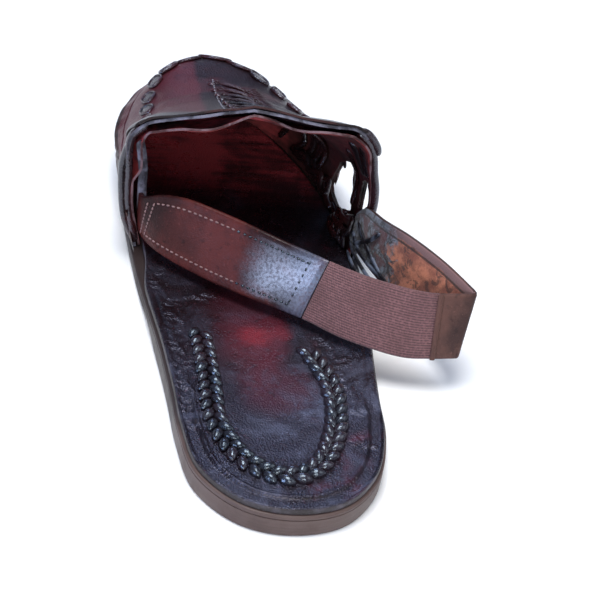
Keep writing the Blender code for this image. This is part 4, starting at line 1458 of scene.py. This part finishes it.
first, last = np.interp((0.6, 37.4), COLUMNS, PERIMETER)
tiles = []
for number, middle in enumerate(np.arange(first, last, 8.2)):
    column = float(np.interp(middle, PERIMETER, COLUMNS))
    plump = 0.9 + 1.9 * float(smooth(column, 7, 15)) * (1 - float(smooth(column, 36, 39)))
    tiles.append(wall_tile(middle, 0.5, 11.2, 9.0, 9.4 + chance.uniform(-0.5, 0.5), plump * 0.9))
    tiles.append(wall_tile(middle + 4.1, 18.2, 7.2, 9.0, 9.6 + chance.uniform(-0.5, 0.5), plump))
plait = tinted(joined(tiles, "plaited_wall"), 0.0, 1.0)
done(plait, [plait_leather], ["plaited_rand"], 70.0)
print("strips in the plait:", len(tiles))

# %% [markdown]
# ## Bindings and hanging thongs
# The wall's back edges are bound with a folded strip, and at the inner corner a facing is turned to the
# back, with a painted blue-grey highlight. The strap's outer end is lashed on with a few thongs, painted
# blue-grey as a reflection. On the outer side, thongs hang from the throat to the sole across the opening,
# and inside more of them dangle in front of the lining and gather in knots at the footbed. Each one is a
# thong swept along a few points of the skin: columns count from the outer throat corner, and a negative
# lift lays a point on the inner face.

# %% Bindings and thongs
Hang = namedtuple("Hang", "wide thick spots")     # spots are (column, up, lift)
HANGS = [
    Hang(4.0, 1.4, ((5.0, 12, -2.9), (5.7, 20, -3.0), (5.4, 30, -3.0), (5.0, 40, -3.0), (4.6, 48, -2.8))),
    Hang(3.4, 2.2, ((12.0, 1.0, 0.6), (12.1, 10, 0.6), (11.9, 20, 0.6), (11.2, 29, 0.6), (10.4, 37, 0.4))),
    Hang(3.2, 2.0, ((4.4, 2.0, 0.6), (6.2, 1.2, 0.6), (8.2, 1.4, 0.6), (10.6, 3.4, 0.7), (12.5, 6.0, 0.6))),
    Hang(3.2, 2.0, ((0.8, 12.0, 0.6), (2.4, 12.0, 0.6), (4.0, 9.5, 0.7), (5.0, 3.0, 0.6))),
    Hang(3.4, 2.0, ((0.6, 42.0, 0.6), (3.4, 41.0, 0.7), (6.4, 38.0, 0.7), (8.8, 32.0, 0.7),
                    (11.2, 23.5, 0.7), (12.6, 18, 0.6))),
    Hang(3.0, 1.8, ((2.6, 0.8, 0.6), (2.7, 5, 0.7), (2.5, 10, 0.7), (2.2, 13, 0.5))),
    Hang(3.0, 1.8, ((5.4, 39, 0.6), (6.4, 43, 0.6), (7.6, 49, 0.5))),
    Hang(3.0, 2.2, ((13.0, 1.5, -3.4), (12.9, 10, -3.8), (13.1, 19, -3.6), (12.2, 29, -3.8),
                    (11.0, 40, -3.6), (10.3, 48, -3.2))),
    Hang(3.2, 2.2, ((13.6, 2.0, -3.6), (13.9, 11, -4.0), (13.4, 21, -3.8), (12.7, 31, -4.2),
                    (11.8, 41, -3.8), (11.2, 48, -3.3))),
    Hang(3.0, 2.2, ((15.2, 2.0, -3.4), (15.0, 11, -3.8), (14.9, 21, -3.5), (14.3, 30, -3.8),
                    (13.4, 39, -3.6), (12.8, 46, -3.2))),
    Hang(2.8, 2.0, ((16.8, 2.5, -3.6), (16.2, 11, -4.0), (16.6, 19, -3.8), (16.0, 28, -4.0),
                    (15.2, 37, -3.6), (14.6, 43, -3.2))),
    Hang(2.8, 2.0, ((18.2, 3.0, -3.4), (18.0, 11, -3.6), (17.4, 20, -3.5), (17.4, 28, -3.6),
                    (16.8, 36, -3.2))),
    Hang(4.6, 1.4, ((1.0, 40, -2.9), (1.4, 46, -3.0), (1.6, 52, -3.0), (1.4, 58, -2.6))),
    Hang(4.6, 1.4, ((2.4, 38, -2.9), (2.8, 45, -3.0), (3.0, 52, -3.0), (2.8, 58, -2.6))),
    Hang(3.2, 2.4, ((9.4, 2.0, -4.2), (10.6, 5.6, -4.6), (12.2, 4.4, -4.6), (13.6, 7.4, -4.8),
                    (15.2, 4.0, -4.6), (16.8, 5.6, -4.4))),
    Hang(3.2, 2.4, ((8.6, 4.6, -5.4), (10.0, 2.6, -5.8), (11.6, 7.6, -6.0), (13.0, 3.6, -5.8),
                    (14.8, 7.4, -5.8), (16.2, 3.0, -5.4))),
    Hang(3.0, 2.2, ((7.0, 1.6, -4.4), (8.6, 2.2, -4.8), (10.2, 8.2, -5.0), (11.6, 2.6, -5.0),
                    (12.8, 9.6, -4.6))),
    Hang(3.2, 2.0, ((1.6, 11.0, -3.0), (2.8, 11.4, -3.0), (4.2, 7.4, -3.2), (6.2, 1.8, -3.0),
                    (8.2, 2.4, -3.0))),
    Hang(3.2, 2.2, ((0.6, 1.5, -5.4), (0.9, 7, -7.6), (0.5, 12, -7.2), (1.4, 16, -6.2))),
    Hang(3.2, 2.2, ((2.2, 1.0, -6.5), (1.6, 6, -9.0), (2.6, 10, -8.0), (1.8, 14, -6.6))),
    Hang(3.0, 2.2, ((3.6, 1.0, -7.0), (3.0, 4, -9.4), (4.2, 8, -8.0), (3.4, 12, -6.0))),
    Hang(3.0, 2.2, ((0.4, 9, -6.4), (2.0, 8, -9.2), (3.6, 6, -9.6), (5.2, 4, -7.0))),
    Hang(3.2, 2.2, ((0.6, 4, -6.2), (2.2, 3, -9.6), (4.0, 2.4, -9.6), (5.8, 2.0, -6.0))),
    Hang(3.0, 2.0, ((1.0, 13, -6.4), (2.6, 11, -8.6), (4.4, 9, -7.6), (5.6, 6, -6.0))),
]
INNER_HANGS = [
    Hang(4.0, 3.0, ((0.5, 2.0, 0.8), (0.5, 14, 1.2), (0.55, 28, 1.4), (0.5, 42, 1.2), (0.5, 55, 0.6))),
    Hang(3.4, 2.2, ((1.7, 16.0, 0.5), (1.6, 26, 0.9), (1.8, 38, 0.9), (1.7, 50, 0.4))),
]
hung = []
for corner, hangs in ((OUTER_CORNER, HANGS), (0, INNER_HANGS)):
    for hang in hangs:
        column, up, lift = np.array(hang.spots, float).T
        if lift[0] > 0:
            lift[[0, -1]] = -0.6
        column = np.abs(corner - column)
        points = up_wall(column, up, lift)
        hung.append(thong("hang", points, up_wall(column, up, lift + 1.0) - points, hang.wide, hang.thick,
                          28, 10, 10))
done(tinted(joined(hung, "wall_thongs"), 0.0, 0.12), [thong_leather], (), 80.0)

LASHINGS = [          # places and shares on the strap's inside
    ((15.2, 0.05), (14.5, -0.05), (13.8, -0.08), (13.0, 0.05)),
    ((15.1, -0.16), (14.5, -0.26), (13.9, -0.22), (13.2, -0.02)),
    ((15.3, 0.35), (14.7, 0.18), (14.1, 0.10), (13.3, 0.16)),
    ((15.1, 0.62), (14.6, 0.45), (14.1, 0.30), (13.5, 0.14)),
    ((14.9, 0.10), (14.5, 0.35), (14.2, 0.55), (13.9, 0.78)),
]
lashed = []
for spots in LASHINGS:
    frames = [strap_frame(*spot) for spot in spots]
    lashed.append(thong("lashing", [point - normal * 1.7 for point, normal, _ in frames],
                        [-normal for _, normal, _ in frames], 2.1, 1.2, 24, 8, 10))
done(joined(lashed, "strap_lashings"), [lashing_painted_reflection], (), 80.0)

bindings = []
for corner, top in ((0.32, 0.60), (49.68, 0.61)):
    girths = np.linspace(0.012, top, 9)
    points = skin(np.full(9, corner), girths, -1.0)
    bindings.append(thong("binding", points, skin(np.full(9, corner), girths, 0.0) - points, 4.0, 3.5, 60,
                          12, 30))
girths = np.linspace(0.46, 0.60, 5)
points = skin(np.full(5, 49.7), girths, 0.9)
bindings.append(thong("roll", points, skin(np.full(5, 49.7), girths, 1.9) - points, 6.0, 3.8, 24, 12, 4))
ups, lifts = np.array((15.0, 22, 30, 38, 46, 53)), np.array((-5.6, -6.6, -6.8, -6.8, -6.0, -4.4))
points = up_wall(np.full(6, 0.3), ups, lifts)
# Painted highlight: the facing takes the blue-grey edge finish.
facing = thong("throat_facing", points, np.tile((0.15, -0.9, 0.4), (6, 1)), 3.8, 1.6, 40, 10, 14)
done(facing, [edge_highlight], (), 80.0)
done(tinted(joined(bindings, "throat_bindings"), 0.2, 0.4), [loop_leather], (), 80.0)
print("hanging thongs:", len(hung))

# %% [markdown]
# ## Floor, light and camera
# The sandal lies on a plain white floor in soft light from above, a little blue like an open sky, which
# gives the waxed leather its cool sheen. Far from the lamps the floor would turn dark, so there it glows a
# little, like the lit paper of a studio, and beyond its edge the camera sees plain white. The camera
# stands where the photograph's camera stood, above and behind the heel, turned to the middle of the shoe
# and with a longer lens, so that one shoe fills the frame.

# %% Floor
bpy.ops.object.select_all(action="DESELECT")
bpy.ops.mesh.primitive_grid_add(x_subdivisions=8, y_subdivisions=8, size=60.0, location=(0, 0, 0))
floor = bpy.context.object
floor.name = "floor"
paper = Finish("white_floor")
fleck = paper.noise(300.0, 2.0)
away = paper.node("ShaderNodeVectorMath", {"operation": "LENGTH"}, {0: paper.object}, "Value")
glow = paper.mix(paper.step(away, 0.6, 2.6), (0.0, 0.0, 0.0), (0.88, 0.88, 0.88))
floor.data.materials.append(paper.paint(Base_Color=paper.mix(fleck, (0.92, 0.92, 0.92), (0.95, 0.95, 0.95)),
                                        Roughness=0.9, Emission_Color=glow, Emission_Strength=1.0))
print("floor", tuple(round(v, 2) for v in floor.dimensions))

# %% Light
def soft_light(name, at, aim, size, power, colour, tall=1.0):
    bpy.ops.object.light_add(type="AREA", location=at)
    lamp = bpy.context.object
    lamp.name = name
    lamp.data.shape = "ELLIPSE"
    lamp.data.size, lamp.data.size_y, lamp.data.energy, lamp.data.color = size, size * tall, power, colour
    lamp.rotation_mode = "QUATERNION"
    lamp.rotation_quaternion = (Vector(aim) - Vector(at)).to_track_quat("-Z", "Y")
    return lamp


SKY = (0.54, 0.67, 1.0)
WARM = (1.0, 0.98, 0.95)
soft_light("sky_top", (-0.25, -0.10, 1.70), (0, 0, 0), 0.9, 28.0, (1.0, 1.0, 1.0))
soft_light("sky_front", (-0.05, 1.30, 1.00), (0, 0, 0), 0.5, 5.0, SKY)
soft_light("window_left", (-0.97, -0.70, 0.235), (0, 0, 0.03), 0.27, 6.0, SKY, 1.7)
soft_light("fill_right", (1.00, -0.40, 0.90), (0, 0, 0.02), 0.9, 3.2, WARM)
soft_light("fill_back", (-0.05, -1.30, 0.62), (0, 0.08, 0.02), 0.35, 6.0, WARM)
world = bpy.data.worlds.new("studio")
bpy.context.scene.world = world
world.use_nodes = True
sky_nodes, sky_links = world.node_tree.nodes, world.node_tree.links
sky_nodes["Background"].inputs["Color"].default_value = (0.52, 0.70, 1.0, 1.0)
sky_nodes["Background"].inputs["Strength"].default_value = 0.25
white_sky = sky_nodes.new("ShaderNodeBackground")
white_sky.inputs["Color"].default_value = (1.0, 1.0, 1.0, 1.0)
seen = sky_nodes.new("ShaderNodeLightPath")
either = sky_nodes.new("ShaderNodeMixShader")
sky_links.new(seen.outputs["Is Camera Ray"], either.inputs[0])
sky_links.new(sky_nodes["Background"].outputs[0], either.inputs[1])
sky_links.new(white_sky.outputs[0], either.inputs[2])
sky_links.new(either.outputs[0], sky_nodes["World Output"].inputs["Surface"])
bpy.context.scene.view_settings.view_transform = "Standard"

# %% Camera
AT = np.array((-103.74, -411.80, 426.77))
RIGHT = np.array((0.99712, -0.01721, 0.07382))
UP = np.array((-0.04832, 0.60607, 0.79394))
AHEAD = np.array((0.05840, 0.79523, -0.60349))
PHOTO_FOCUS = 910.19       # the photograph's focal length, in its own pixels
SHOE_IN_PHOTO = (404.0, 318.0)
CLOSER = 1.88
PHOTO_WIDE = 600
SENSOR = 36.0
look = AHEAD * PHOTO_FOCUS + RIGHT * (SHOE_IN_PHOTO[0] - PHOTO_WIDE / 2) - UP * (SHOE_IN_PHOTO[1]
        - PHOTO_WIDE / 2)
look /= np.linalg.norm(look)
right = RIGHT - look * RIGHT.dot(look)
right /= np.linalg.norm(right)
up = np.cross(right, look)
bpy.ops.object.camera_add(location=Vector((AT + SHIFT) * MM))
camera = bpy.context.object
camera.rotation_mode = "QUATERNION"
camera.rotation_quaternion = Matrix((right, up, -look)).transposed().to_quaternion()
camera.data.sensor_width = SENSOR
camera.data.lens = SENSOR * PHOTO_FOCUS * CLOSER / PHOTO_WIDE
bpy.context.scene.camera = camera
print("lens, mm:", round(camera.data.lens, 1))
